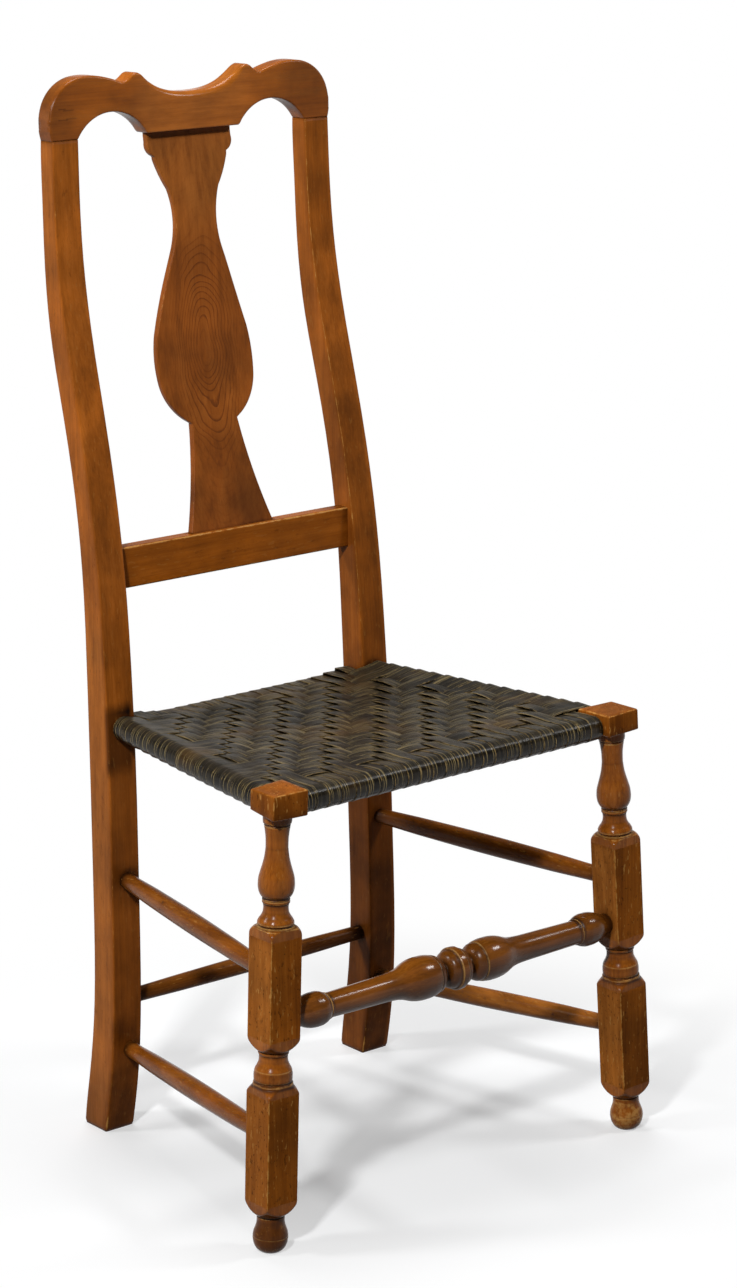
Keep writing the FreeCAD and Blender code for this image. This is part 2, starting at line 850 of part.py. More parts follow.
def between(share, stations):
    """Value at a share of the way through a short run of (share, value) stations."""
    for (low, start), (high, stop) in zip(stations, stations[1:]):
        if share <= high:
            return start + (stop - start) * (share - low) / (high - low)
    return stations[-1][1]


def seat_level(across, depth):
    """Height of the face between the lengthwise and the crosswise strips on the seat's top."""
    share = depth / mm("rear_rail_y")
    level = mm("front_rail_z") + (mm("rear_rail_z") - mm("front_rail_z")) * share + rail_clear()
    half, rail_up = side_rail_at(depth)
    lift = rail_up + rail_clear() + mm("splint_thickness") - level
    out = min(1.0, abs(across) / half)
    inside = between(share, ((0.0, 0.0), (WARP_BENDS[0], 1.0), (WARP_BENDS[1], 1.0), (1.0, 0.0)))
    rise = between(out, ((0.0, 0.0), (WEFT_BENDS[0], 0.0), (WEFT_BENDS[1], 0.35 * inside), (1.0, 1.0)))
    dip = between(out, ((0.0, inside), (WEFT_BENDS[0], inside), (WEFT_BENDS[1], 0.2 * inside), (1.0, 0.0)))
    return level + lift * rise - mm("seat_sag") * dip


def strip_solid(outer, inner, looped, place_point, way):
    """A strip of even width from the two faces of its path."""
    if looped:
        wires = [Part.makePolygon([place_point(p) for p in line + line[:1]]) for line in (outer, inner)]
        face = Part.Face(wires[0]).cut(Part.Face(wires[1])).Faces[0]
    else:
        line = outer + inner[::-1]
        face = Part.Face(Part.makePolygon([place_point(p) for p in line + line[:1]]))
    return face.extrude(way)


def make_warp():
    """Lengthwise strips: full loops between the posts, short ones in the corners beside them."""
    count = int(mm("warp_count"))
    pitch = mm("warp_pitch")
    width = mm("warp_width")
    thick = mm("splint_thickness")
    rear = mm("rear_rail_y")
    front_z = mm("front_rail_z")
    rear_z = mm("rear_rail_z")
    strips = []
    for index in range(count):
        across = (index - (count - 1) / 2) * pitch
        full = abs(across) + width / 2 < post_inner(rear_z) - 1
        half_front, up = side_rail_at(0)
        half_rear, up = side_rail_at(rear)
        room = abs(across) + width / 2 + mm("seat_rail_diameter") / 2 + thick + 1
        stop = rear if full else rear * (half_front - room) / (half_front - half_rear)
        stop = max(stop, rear * 0.1)
        shares = WARP_BENDS if full else (0.5, 1.0)
        edge = abs(across) + width / 2
        faces = []
        for grow in (thick, 0.0):
            radius = rail_clear() + grow
            line = wrap(0, front_z, radius, 270, 90) + [(0, front_z + radius)]
            line += [(stop * share, seat_level(edge, stop * share) + grow) for share in shares]
            if full:
                line += [(rear, rear_z + radius)] + wrap(rear, rear_z, radius, 90, -90)
            else:
                low = front_z + (rear_z - front_z) * stop / rear - rail_clear()
                line = [(stop, low - grow)] + line
            faces.append(line)
        strips.append(strip_solid(
            faces[0],
            faces[1],
            full,
            lambda p, x=across: Vector(x - width / 2, p[0], p[1]),
            Vector(width, 0, 0),
        ))
    piece = doc.addObject("Part::Feature", "warp_piece")
    piece.Shape = Part.makeCompound(strips)
    piece.Label = "warp_splints"
    return piece


def make_weft():
    """Crosswise strips: loops round the two side rails, under the lengthwise strips."""
    count = int(mm("weft_count"))
    width = mm("weft_width")
    thick = mm("splint_thickness")
    gap = 0.4
    first = mm("seat_rail_diameter") / 2 + thick + width / 2 + 7
    last = mm("post_front_4") - width / 2 - 2
    strips = []
    for index in range(count):
        depth = first + (last - first) * index / (count - 1)
        half, up = side_rail_at(depth)
        narrow, up_rear = side_rail_at(depth + width / 2)
        half = half + (half - narrow)
        faces = []
        for grow in (thick, 0.0):
            radius = rail_clear() + grow
            top = (-WEFT_BENDS[1], -WEFT_BENDS[0], WEFT_BENDS[0], WEFT_BENDS[1])
            line = wrap(-half, up, radius, 270, 90) + [(-half, up + radius)]
            for share in top:
                edges = [seat_level(half * share, depth + way * width / 2) for way in (-1, 1)]
                line.append((half * share, min(edges) - gap - thick + grow))
            line += [(half, up + radius)] + wrap(half, up, radius, 90, -90)
            faces.append(line)
        strips.append(strip_solid(
            faces[0],
            faces[1],
            True,
            lambda p, y=depth: Vector(p[0], y - width / 2, p[1]),
            Vector(0, width, 0),
        ))
    piece = doc.addObject("Part::Feature", "weft_piece")
    piece.Shape = Part.makeCompound(strips)
    piece.Label = "weft_splints"
    return piece


# The chair
pieces = []
for side_name, side_sign in SIDES:
    pieces.append(make_leg(side_name, side_sign))
    pieces.append(make_post(side_name, side_sign))
    for stick_level in ("upper", "lower"):
        leg_end, post_end = side_stick_ends(side_sign, stick_level)
        stick_label = f"side_stretcher_{stick_level}_{side_name}"
        pieces.append(make_stick(stick_label, leg_end, post_end, size("stick_diameter")))
    leg_end, post_end = side_rail_ends(side_sign)
    pieces.append(make_seat_rail(
        f"seat_rail_{side_name}",
        leg_end,
        post_end,
        size("side_rail_front_tenon"),
        size("side_rail_rear_tenon") + 2.0,
    ))
pieces.append(make_crest())
pieces.append(make_splat())
pieces.append(make_back_rail())
pieces.append(make_front_stretcher())
pieces.append(make_stick("rear_stretcher", rear_stick_end(-1), rear_stick_end(1), size("rear_stick_diameter")))
pieces.append(make_seat_rail(
    "seat_rail_front",
    front_rail_end(-1),
    front_rail_end(1),
    size("front_rail_tenon"),
    size("front_rail_tenon"),
))
pieces.append(make_seat_rail(
    "seat_rail_rear",
    rear_rail_end(-1),
    rear_rail_end(1),
    size("rear_rail_tenon"),
    size("rear_rail_tenon"),
))
pieces.append(make_warp())
pieces.append(make_weft())
doc.recompute()

# Centre the chair over the origin
whole = FreeCAD.BoundBox()
for piece in pieces:
    whole.add(piece.Shape.optimalBoundingBox())
centring = Placement(Vector(-whole.Center.x, -whole.Center.y, 0), Rotation())
for piece in pieces:
    piece.Placement = centring * piece.Placement
doc.recompute()

# Nothing is written unless every step of the model is sound
for item in doc.Objects:
    if "Invalid" in item.State or "Error" in item.State:
        raise RuntimeError(f"{item.Name} did not recompute: {item.State}")
for piece in pieces:
    if piece.Shape.isNull() or not piece.Shape.isValid():
        raise RuntimeError(f"{piece.Label} has no sound shape")
os.makedirs("parts", exist_ok=True)
for piece in pieces:
    piece.Shape.exportStep(f"parts/{piece.Label}.step")
    print(piece.Label, round(piece.Shape.Volume), len(piece.Shape.Solids))
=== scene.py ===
import math
from functools import partial

import bmesh
import bpy
import numpy as np
from mathutils import Matrix, Vector


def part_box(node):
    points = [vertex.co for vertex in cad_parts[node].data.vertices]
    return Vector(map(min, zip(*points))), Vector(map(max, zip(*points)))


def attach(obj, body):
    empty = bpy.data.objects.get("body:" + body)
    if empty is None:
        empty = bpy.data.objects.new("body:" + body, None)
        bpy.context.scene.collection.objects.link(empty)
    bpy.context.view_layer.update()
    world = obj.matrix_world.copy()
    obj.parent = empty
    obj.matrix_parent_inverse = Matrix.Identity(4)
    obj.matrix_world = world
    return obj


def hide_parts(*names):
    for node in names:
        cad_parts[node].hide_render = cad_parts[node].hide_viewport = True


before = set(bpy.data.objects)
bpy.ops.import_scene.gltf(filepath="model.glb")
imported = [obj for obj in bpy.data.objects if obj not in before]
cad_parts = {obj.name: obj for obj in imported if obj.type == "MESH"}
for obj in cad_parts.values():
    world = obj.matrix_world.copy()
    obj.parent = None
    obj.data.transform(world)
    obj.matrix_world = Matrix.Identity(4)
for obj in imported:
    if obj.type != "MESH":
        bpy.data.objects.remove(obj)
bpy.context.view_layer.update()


# Front legs: two maple billets, left square where the stretchers enter and turned between.
# Ball foot, bell and vase are cut with gouge and skew and scribed with fine lines, and the
# square head stands above the seat. The varnish is worn pale on the arrises and the feet.

# Each cut is the spacing of its rows, then (height, radius) points, in millimetres.
# It starts where the one before ended.
LEG_CUTS = [
    (0.6, [(0, 9.6), (1, 11.2), (4, 14), (9, 16), (14, 16.6), (18, 16.1), (22, 14.8),
           (26, 13.5), (30, 13), (33.8, 13.1)]),
    (0.3, [(34.6, 12.5), (35.6, 12.5), (36.3, 14.8)]),
    (0.5, [(41, 20), (45.5, 23.4), (50, 25.4)]),
    (2.5, [(153.5, 25.4)]),
    (0.5, [(157.5, 22.6), (161.5, 18.9)]),
    (0.3, [(164.2, 18.6), (165, 17.1), (166.2, 17), (166.9, 17.9)]),
    (0.4, [(170, 18.1), (173.2, 18)]),
    (0.4, [(174.4, 17.7), (176.8, 17.5)]),
    (0.5, [(178.6, 16.5), (182, 14.7), (186, 13.5), (190.3, 13.3)]),
    (0.3, [(191, 13), (191.7, 13.9)]),
    (0.3, [(193.4, 14.4), (195, 13.9)]),
    (0.3, [(195.5, 13.4), (196.1, 15.8)]),
    (0.5, [(200, 20.2), (204, 23.6), (208, 25.4)]),
    (2.5, [(303.5, 25.4)]),
    (0.5, [(308.5, 23.8), (312, 21), (313.8, 17.2)]),
    (0.3, [(314.4, 16), (315.2, 16), (315.8, 17)]),
    (0.4, [(317.2, 17.2), (318.4, 16.9)]),
    (0.5, [(320.6, 15.7), (323.6, 13.6), (327.5, 12), (331.5, 11.6), (335.4, 12.1)]),
    (0.3, [(336.2, 12.9), (339.4, 12.9), (340.1, 12.4), (341.2, 12.4), (341.9, 13.7)]),
    (0.6, [(344.2, 15.2), (348, 16.5), (352.5, 17), (358.5, 16.6), (365, 15),
           (372, 13), (379, 11.4), (387, 10.4)]),
    (0.6, [(395, 10.5), (403, 11.3), (408.4, 12.2)]),
    (0.3, [(409, 11.8), (409.8, 11.8), (410.5, 13)]),
    (0.6, [(413, 13.4), (420, 13.3)]),
]
LEG_LINES = [14.5, 163.4, 176.8, 313.9, 317.2, 338.2, 407.6]
LEG_SQUARES = ((50.0, 153.0), (208.0, 303.0), (419.5, 500.0))
SQUARE_HALF = 17.6
LEG_FOOT = (0.2256, -0.19315, 0.0)
LEG_HEAD = (0.2030, -0.19093, 0.440)
# Place and radius of each stretcher where it enters the right leg.
LEG_SOCKETS = [
    ((0.1974, -0.1928, 0.2224), 0.009),
    ((0.2121, -0.1755, 0.2644), 0.010),
    ((0.2202, -0.1766, 0.1085), 0.010),
]
# Paler varnish on the left faces, partly rubbed thin and partly painted light on the lit side, and painted
# shade on the front faces of the upper and lower square, then soil and bare wood on the ball foot.
LEG_WEAR_AND_SHADING = {"left": (0.26, 0.16, 0.03, 0.28, 0.58, 0.48), "right": (0.44, 0.34, 0.09, 0.46, 0.34, 0.76)}
# The head block from its foot up: fall below the top, inset of its sides, and wear of its rim.
HEAD_ROWS = [
    (21.0, 1.4, 0.7), (20.7, 0.5, 0.8), (20.0, 0.0, 0.35), (14.0, 0.0, 0.0), (7.0, 0.0, 0.0),
    (1.6, 0.0, 0.25), (0.7, 0.3, 0.9), (0.15, 0.9, 1.0), (0.0, 2.0, 0.6), (0.0, 6.0, 0.0),
]
HEAD_TALL = 21.0
HEAD_HALF = 19.0
# How far each corner of a head block stands out of square: aside, behind, up at the top and the bottom.
HEAD_CORNERS = {
    "left": [(0.0, 0.0, 0.0, -2.4), (1.2, 0.0, 1.6, -1.8), (0.0, 0.0, 3.2, 0.0), (1.2, -1.2, 0.0, 1.4)],
    "right": [(0.0, 0.0, 0.0, 0.0)] * 3 + [(-0.6, 6.2, 0.0, 0.0)],
}
MARKS = ("arris", "grime", "scribe", "scuff")


def linear(code):
    """An sRGB hex colour as linear values."""
    shares = [int(code[i:i + 2], 16) / 255 for i in (1, 3, 5)]
    return tuple(s / 12.92 if s <= 0.04045 else ((s + 0.055) / 1.055) ** 2.4 for s in shares) + (1.0,)


def add(tree, kind, inputs=(), operation=None, **settings):
    """Add one node. An input is a value, a socket, or a node, which is linked by its first live output."""
    node = tree.nodes.new(kind if "Node" in kind else f"ShaderNode{kind}")
    if operation:
        node.operation = operation
    for key, value in settings.items():
        setattr(node, key, value)
    for key, value in inputs.items() if isinstance(inputs, dict) else enumerate(inputs):
        if isinstance(value, bpy.types.Node):
            value = next(socket for socket in value.outputs if socket.enabled)
        if isinstance(value, bpy.types.NodeSocket):
            tree.links.new(value, node.inputs[key])
        else:
            node.inputs[key].default_value = value
    return node


def blank(owner):
    """Empty the nodes of a material or a world, and give the function that adds new ones."""
    owner.use_nodes = True
    owner.node_tree.nodes.clear()
    return partial(add, owner.node_tree)


def flecks(put, place, size, shift=(0.0, 0.0, 0.0), **inputs):
    """A pattern of flecks of a real size, in millimetres along each axis."""
    spread = put("Mapping", {"Vector": place, "Scale": [1000 / s for s in size], "Location": shift})
    return put("TexNoise", {"Vector": spread, "Scale": 1.0, **inputs})


# Maple under old amber varnish: fibres along the piece, broad warm clouds, a satin gloss, dark grime in
# joints, painted shade in the cuts and on shaded faces, pale wood on rubbed edges, and paler varnish painted
# on lit faces as light. Real fibres, pores and nicks are finer, and they are drawn coarser here so that they
# show. Without knocks it also serves the bare ash rails.
def varnished_maple(name, grain, tones, shift=(0, 0, 0), rings=None, knocks=0.0, rough=0.34, shine=0.07):
    material = bpy.data.materials.new(name)
    put = blank(material)
    turn = {"x": (0.0, math.pi / 2, 0.0), "y": (math.pi / 2, 0.0, 0.0), "z": (0.0, 0.0, 0.0)}[grain]
    place = put("TexCoord").outputs["Object"]
    lie = put("Mapping", {"Vector": place, "Rotation": turn, "Location": shift})
    arris, grime, scribe, scuff = (put("Attribute", attribute_name=mark).outputs["Fac"] for mark in MARKS)

    # Figure: fine fibres over broad bands, coloured from dark to pale.
    fibre = flecks(put, lie, (1.8, 1.8, 110.0), Detail=4.0, Roughness=0.6)
    band = flecks(put, lie, (13.0, 13.0, 260.0), Detail=3.0, Distortion=0.4)
    if rings:
        band = rings(put, place, band)
    base, fine = (0.18, 0.26) if rings else (0.06, 0.44)
    broad = put("Math", [band, 0.45], "MULTIPLY")
    level = put("Math", [broad, base], "ADD")
    figure = put("Math", [fibre, fine, level], "MULTIPLY_ADD")
    wood = put("ValToRGB", [figure])
    stops = wood.color_ramp.elements
    stops.new(0.50)
    for stop, at, tone in zip(stops, (0.32, 0.50, 0.68), tones):
        stop.position = at
        stop.color = linear(tone)

    # Varnish: clouds of about 59 mm, drawn-out stains, open pores, and paler patches where it is rubbed thin,
    # which also paint light on lit faces.
    blotch = put("TexNoise", {"Vector": lie, "Scale": 17.0, "Detail": 4.0})
    cloud = put("MapRange", [blotch, 0.3, 0.7, 0.70, 1.22])
    stain = flecks(put, lie, (7.0, 7.0, 45.0), Detail=4.0, Roughness=0.65)
    mottle = put("MapRange", [stain, 0.30, 0.66, 0.82, 1.10])
    for shade in (cloud, mottle):
        wood = put("Mix", {0: 1.0, 6: wood, 7: shade}, data_type="RGBA", blend_type="MULTIPLY")
    pore = flecks(put, lie, (1.1, 1.1, 9.0), Detail=2.0)
    open_pore = put("MapRange", [pore, 0.64, 0.78, 0.0, 0.24])
    patchy = put("MapRange", [stain, 0.35, 0.65, 0.5, 1.5])
    thinned_and_lit = put("Math", [scuff, patchy], "MULTIPLY")

    # Wear and painted light: soil and painted shade in joints, hollows and shaded faces, bare wood on the
    # arrises in spots of about 8 mm, pale scribed lines that are painted highlights on the stretcher's rims,
    # and the marks of knocks.
    uneven = put("MapRange", [blotch, 0.35, 0.6, 1.0, 0.6])
    soil_and_shade = put("Math", [grime, uneven], "MULTIPLY")
    rub = put("TexNoise", {"Vector": lie, "Scale": 120.0, "Detail": 4.0, "Roughness": 0.65})
    worn = put("Math", [rub, 1.6, arris], "MULTIPLY_ADD")
    bare = put("MapRange", [worn, 1.45, 1.72, 0.0, 0.85])
    if knocks:
        dent = flecks(put, lie, (4.5, 4.5, 11.0), (7.0, 3.0, 1.0), Detail=4.0, Roughness=0.7)
        pit = flecks(put, lie, (3.0, 3.0, 3.4), Detail=2.0)
        nick = flecks(put, lie, (2.6, 2.6, 10.0), Detail=3.0)
        bruised = put("MapRange", [dent, 0.58, 0.70, 0.0, 0.75 * knocks])
        pitted = put("MapRange", [pit, 0.64, 0.70, 0.0, 0.58 * knocks ** 2])
        chipped = put("MapRange", [nick, 0.63, 0.68, 0.0, 0.70 * knocks ** 2])
        for mark in (bruised, pitted):
            soil_and_shade = put("Math", [soil_and_shade, mark], "MAXIMUM")
        bare = put("Math", [bare, chipped], "MAXIMUM")
    faint = put("MapRange", [rub, 0.35, 0.6, 0.25, 0.90])
    line = put("Math", [scribe, faint], "MULTIPLY")
    # The dark layer is soil with painted shade, the tan layer is varnish rubbed thin and paler varnish
    # painted as light on lit faces, and the pale line is scribed and, on the stretcher's rims, a painted
    # highlight.
    layers = {"#2b1206": open_pore, "#c97f38": thinned_and_lit, "#1a0a03": soil_and_shade, "#bd8745": bare, "#cb9a58": line}
    for colour, amount in layers.items():
        wood = put("Mix", {0: amount, 6: wood, 7: linear(colour)}, data_type="RGBA")

    # Surface: glossier on the pale figure, matt under soil, with the pores sunk a little.
    gloss = put("MapRange", [figure, 0.3, 0.7, rough + 0.05, rough - 0.05])
    matt = put("Math", [soil_and_shade, 0.25, gloss], "MULTIPLY_ADD")
    relief = put("Math", [open_pore, -0.8, figure], "MULTIPLY_ADD")
    bump = put("Bump", {"Strength": 0.14, "Distance": 0.0005, "Height": relief})
    shader = put("BsdfPrincipled", {
        "Base Color": wood,
        "Roughness": matt,
        "Normal": bump,
        "IOR": 1.5,
        "Specular IOR Level": shine,
    })
    put("OutputMaterial", [shader])
    return material


def smooth(points, step):
    """Heights and radii along one curved cut that passes through a few points."""
    at, size = (np.array(column) for column in zip(*points))
    run = np.diff(at)
    slope = np.diff(size) / run
    lean = np.concatenate([slope[:1], np.zeros(len(slope) - 1), slope[-1:]])
    for k in range(1, len(slope)):
        if slope[k - 1] * slope[k] > 0:
            lean[k] = 2 / (1 / slope[k - 1] + 1 / slope[k])
    rows = np.linspace(at[0], at[-1], max(2, int(round((at[-1] - at[0]) / step)) + 1))
    k = np.clip(np.searchsorted(at, rows) - 1, 0, len(run) - 1)
    t = (rows - at[k]) / run[k]
    left = (1 + 2 * t) * (1 - t) ** 2 * size[k] + t * (1 - t) ** 2 * run[k] * lean[k]
    right = t ** 2 * (3 - 2 * t) * size[k + 1] + t ** 2 * (t - 1) * run[k] * lean[k + 1]
    return rows, left + right


def chained(cuts):
    """The cuts of a turning, each with the point where the one before ended."""
    starts = [[]] + [points[-1:] for _, points in cuts]
    return [(step, start + points) for start, (step, points) in zip(starts, cuts)]


def shell(points):
    """Faces over rows of points, each row a closed ring, with both ends capped."""
    count, around = points.shape[:2]
    faces = []
    for a in range(0, (count - 1) * around, around):
        for k in range(around):
            after = (k + 1) % around
            faces.append((a + k, a + after, a + around + after, a + around + k))
    faces.append(tuple(reversed(range(around))))
    faces.append(tuple(range((count - 1) * around, count * around)))
    return faces


def solid(name, points, faces, material, **marks):
    """A smooth-shaded mesh object with its marks of wear and dirt, and of painted light and shade."""
    mesh = bpy.data.meshes.new(name)
    mesh.from_pydata(points.reshape(-1, 3).tolist(), [], faces)
    for mark, values in marks.items():
        layer = mesh.attributes.new(mark, "FLOAT", "POINT")
        layer.data.foreach_set("value", np.ravel(values).astype(np.float32))
    shape = bmesh.new()
    shape.from_mesh(mesh)
    bmesh.ops.recalc_face_normals(shape, faces=shape.faces)
    shape.to_mesh(mesh)
    shape.free()
    mesh.polygons.foreach_set("use_smooth", [True] * len(mesh.polygons))
    mesh.materials.append(material)
    piece = bpy.data.objects.new(name, mesh)
    bpy.context.scene.collection.objects.link(piece)
    return piece


def ease_in(low, high, value):
    """A soft step from 0 at low to 1 at high."""
    t = np.clip((value - low) / (high - low), 0, 1)
    return t * t * (3 - 2 * t)


def between(start, full, fade, stop, value):
    """1 from full to fade, easing to 0 at start and at stop."""
    return ease_in(start, full, value) * ease_in(stop, fade, value)


def most(*layers):
    """The strongest of several layers of wear, dirt and painted shade at each point."""
    return np.maximum.reduce(np.broadcast_arrays(*layers))


def near(points, sockets, side=1):
    """Grime that thins out within some millimetres of joints, given as (place, radius) pairs."""
    dirt = np.zeros(points.shape[:-1])
    for (x, y, z), radius in sockets:
        gap = np.linalg.norm(points - np.array((side * x, y, z)), axis=-1) - radius
        dirt = np.maximum(dirt, np.exp(-np.clip(gap, 0, None) / 0.005))
    return dirt


# A scribed line is a hair wide in the wood. It is drawn about a millimetre wide so that it shows.
LINE_WIDTH = 0.48
LINE_DEPTH = 0.30
LINE_ROWS = (-0.9, -0.45, 0.0, 0.45, 0.9)
# How sharp the corners of a square are, how softly a cut runs into its flats, in millimetres,
# and the radius from which the edge between the two is rubbed.
SQUARE_POWER = 34
MITRE = 0.30
SHOULDER = 18.2


def turning(foot, head, cuts, lines=(), square=None, around=72):
    """Points and marks of a lathe-turned piece from foot to head, with its squares left on."""
    profile = [smooth(points, step) for step, points in cuts]
    cut_rows, first = np.unique(np.concatenate([cut[0] for cut in profile]).round(4), return_index=True)
    cut_radii = np.concatenate([cut[1] for cut in profile])[first]
    extra = [line + step for line in lines for step in LINE_ROWS]
    rows = np.unique(np.concatenate([cut_rows, extra]).round(4))
    radii = np.interp(rows, cut_rows, cut_radii)
    bow = np.gradient(np.gradient(radii, rows), rows)
    scribed = np.zeros(len(rows))
    for line in lines:
        scribed = np.maximum(scribed, np.exp(-((rows - line) / LINE_WIDTH) ** 2))
    radii = radii - LINE_DEPTH * scribed
    if square:
        spread = np.linspace(-1, 1, around // 4 + 1)[:-1]
        spread = np.sign(spread) * np.abs(spread) ** 1.7 * math.pi / 4
        angles = np.concatenate([spread + math.pi * (0.25 + 0.5 * k) for k in range(4)])
        away = np.tile(np.abs(spread), 4)[None, :]
        cosine, sine = np.abs(np.cos(angles)), np.abs(np.sin(angles))
        flat = (square / (cosine ** SQUARE_POWER + sine ** SQUARE_POWER) ** (1 / SQUARE_POWER))[None, :]
        lathe = radii[:, None] + 0 * flat
        grid = -MITRE * np.logaddexp(-lathe / MITRE, -flat / MITRE)
        shaved = 1 / (1 + np.exp(np.clip((flat - lathe) / 0.35, -30, 30)))
        arris = np.exp(-away * 22 / 1.3) * shaved
        arris = np.maximum(arris, 0.75 * np.exp(-np.abs(lathe - flat) / 0.45) * (lathe > SHOULDER))
    else:
        angles = np.linspace(0, 2 * math.pi, around, endpoint=False)
        grid = radii[:, None] + 0 * angles[None, :]
        arris = 0 * grid
    arris = np.maximum(arris, np.clip(-bow / 0.9, 0, 0.8)[:, None])
    # The hollows of the cuts are darker, spread over about 1.4 mm.
    reach = np.exp(-((rows[:, None] - rows[None, :]) / 1.4) ** 2)
    grime = np.clip((reach * np.clip(bow / 0.45, 0, 0.95)[None, :]).max(axis=1), 0, 0.95)[:, None] + 0 * grid
    local = np.stack([grid * np.cos(angles), grid * np.sin(angles), rows[:, None] + 0 * grid], axis=-1) / 1000
    axis = (Vector(head) - Vector(foot)).normalized()
    turn = np.array(Vector((0, 0, 1)).rotation_difference(axis).to_matrix())
    points = local @ turn.T + np.array(foot)
    return points, {"arris": arris, "grime": grime, "scribe": scribed[:, None] + 0 * grid}


def squared(rows, radius, side=6, bend=4):
    """Points and marks of a planed bar from rows of four corners, with its arrises eased."""
    rows = np.array(rows)
    ring = []
    for k in range(4):
        corner = rows[:, k]
        back = rows[:, k - 1] - corner
        ahead = rows[:, (k + 1) % 4] - corner
        start = corner + radius * back / np.linalg.norm(back, axis=1, keepdims=True)
        stop = corner + radius * ahead / np.linalg.norm(ahead, axis=1, keepdims=True)
        for t in np.linspace(0, 1, bend + 1):
            ring.append((1 - t) ** 2 * start + 2 * t * (1 - t) * corner + t ** 2 * stop)
        onward = rows[:, (k + 1) % 4] - (stop - corner)
        for t in np.linspace(0, 1, side + 1)[1:-1]:
            ring.append((1 - t) * stop + t * onward)
    points = np.stack(ring, axis=1)
    gap = np.min(np.linalg.norm(points[:, :, None] - rows[:, None], axis=-1), axis=2)
    arris = np.exp(-np.clip(gap - 0.45 * radius, 0, None) / 0.0011)
    return points, {"arris": arris, "grime": 0 * arris, "scribe": 0 * arris}


def facing(points):
    """Which points of each row face left, and which face the front."""
    away = points - points.mean(axis=1, keepdims=True)
    return -away[..., 0] > np.abs(away[..., 1]), -away[..., 1] > np.abs(away[..., 0])


# The turned parts shine in small highlights, and the sawn squares are duller and more knocked about.
leg_maple = varnished_maple(
    "maple_turned_amber_varnish", "z", ("#793e0d", "#995415", "#ac641f"), knocks=0.6, rough=0.19, shine=0.12,
)
square_maple = varnished_maple(
    "maple_sawn_square_amber_varnish", "z", ("#743c0d", "#945114", "#a8621e"), (0.6, 0.2, 0.0),
    knocks=1.0, rough=0.36, shine=0.035,
)
for side_name, side in (("left", -1), ("right", 1)):
    foot = (side * LEG_FOOT[0], *LEG_FOOT[1:])
    head = (side * LEG_HEAD[0], *LEG_HEAD[1:])
    points, marks = turning(foot, head, chained(LEG_CUTS), LEG_LINES, square=SQUARE_HALF, around=112)
    axis = (Vector(head) - Vector(foot)).normalized()
    up = np.array(axis)
    along_x = np.array(Vector((1, 0, 0)) - axis * axis.x)
    along_x /= np.linalg.norm(along_x)
    along_y = np.cross(up, along_x)
    rows = []
    for fall, inset, _ in HEAD_ROWS:
        half = (HEAD_HALF - inset) / 1000
        middle = np.array(head) - up * fall / 1000
        sawn = []
        for (a, b), skews in zip(((-1, -1), (1, -1), (1, 1), (-1, 1)), HEAD_CORNERS[side_name]):
            aside, behind, rise, sink = skews
            skew = aside * along_x + behind * along_y + (rise + (sink - rise) * fall / HEAD_TALL) * up
            sawn.append(middle + half * (a * along_x + b * along_y) + skew / 1000)
        rows.append(sawn)
    block, block_marks = squared(rows, radius=0.0013)
    rim = np.array([wear for _, _, wear in HEAD_ROWS])[:, None]
    sides = np.array([1] * (len(HEAD_ROWS) - 1) + [0])[:, None]
    block_marks["arris"] = 0.8 * np.maximum(block_marks["arris"] * sides, rim)
    to_left, to_front = facing(block)
    block_marks["grime"] = np.where(to_front, 0.40, np.where(to_left, 0.18, 0.16))
    block_marks["scuff"] = 0 * block_marks["scribe"]

    upper_scuff, lower_scuff, upper_shade, lower_shade, foot_dark, foot_bare = LEG_WEAR_AND_SHADING[side_name]
    heights = points[..., 2]
    to_left, to_front = facing(points)
    on_upper = between(0.200, 0.212, 0.298, 0.306, heights)
    on_lower = between(0.042, 0.054, 0.148, 0.158, heights)
    # Grime at the sockets and the foot, and painted shade on the front faces of the squares.
    marks["grime"] = most(
        marks["grime"],
        near(points, LEG_SOCKETS, side),
        foot_dark * ease_in(0.036, 0.030, heights),
        to_front * (upper_shade * on_upper + lower_shade * on_lower),
    )
    marks["arris"] = most(marks["arris"], foot_bare * ease_in(0.034, 0.028, heights))
    marks["scribe"] = marks["scribe"] * np.where(heights < 0.03, 0.4, 0.8)
    # The left faces of the squares painted paler, as lit, and rubbed thin.
    marks["scuff"] = to_left * (upper_scuff * on_upper + lower_scuff * on_lower)
    points[..., 2] = np.clip(points[..., 2], 0.0, None)
    turned_points = points.reshape(-1, 3)
    faces = shell(points) + [tuple(k + len(turned_points) for k in face) for face in shell(block)]
    leg = solid(
        f"turned_leg_{side_name}",
        np.concatenate([turned_points, block.reshape(-1, 3)]),
        faces,
        leg_maple,
        **{mark: np.concatenate([marks[mark].ravel(), block_marks[mark].ravel()]) for mark in MARKS},
    )
    leg.data.materials.append(square_maple)
    middles = np.array([face.center[2] for face in leg.data.polygons]) * 1000
    flat = np.any([(middles > low) & (middles < high) for low, high in LEG_SQUARES], axis=0)
    leg.data.polygons.foreach_set("material_index", flat.astype(np.int32))
    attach(leg, "root")
    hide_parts(f"front_leg_{side_name}")


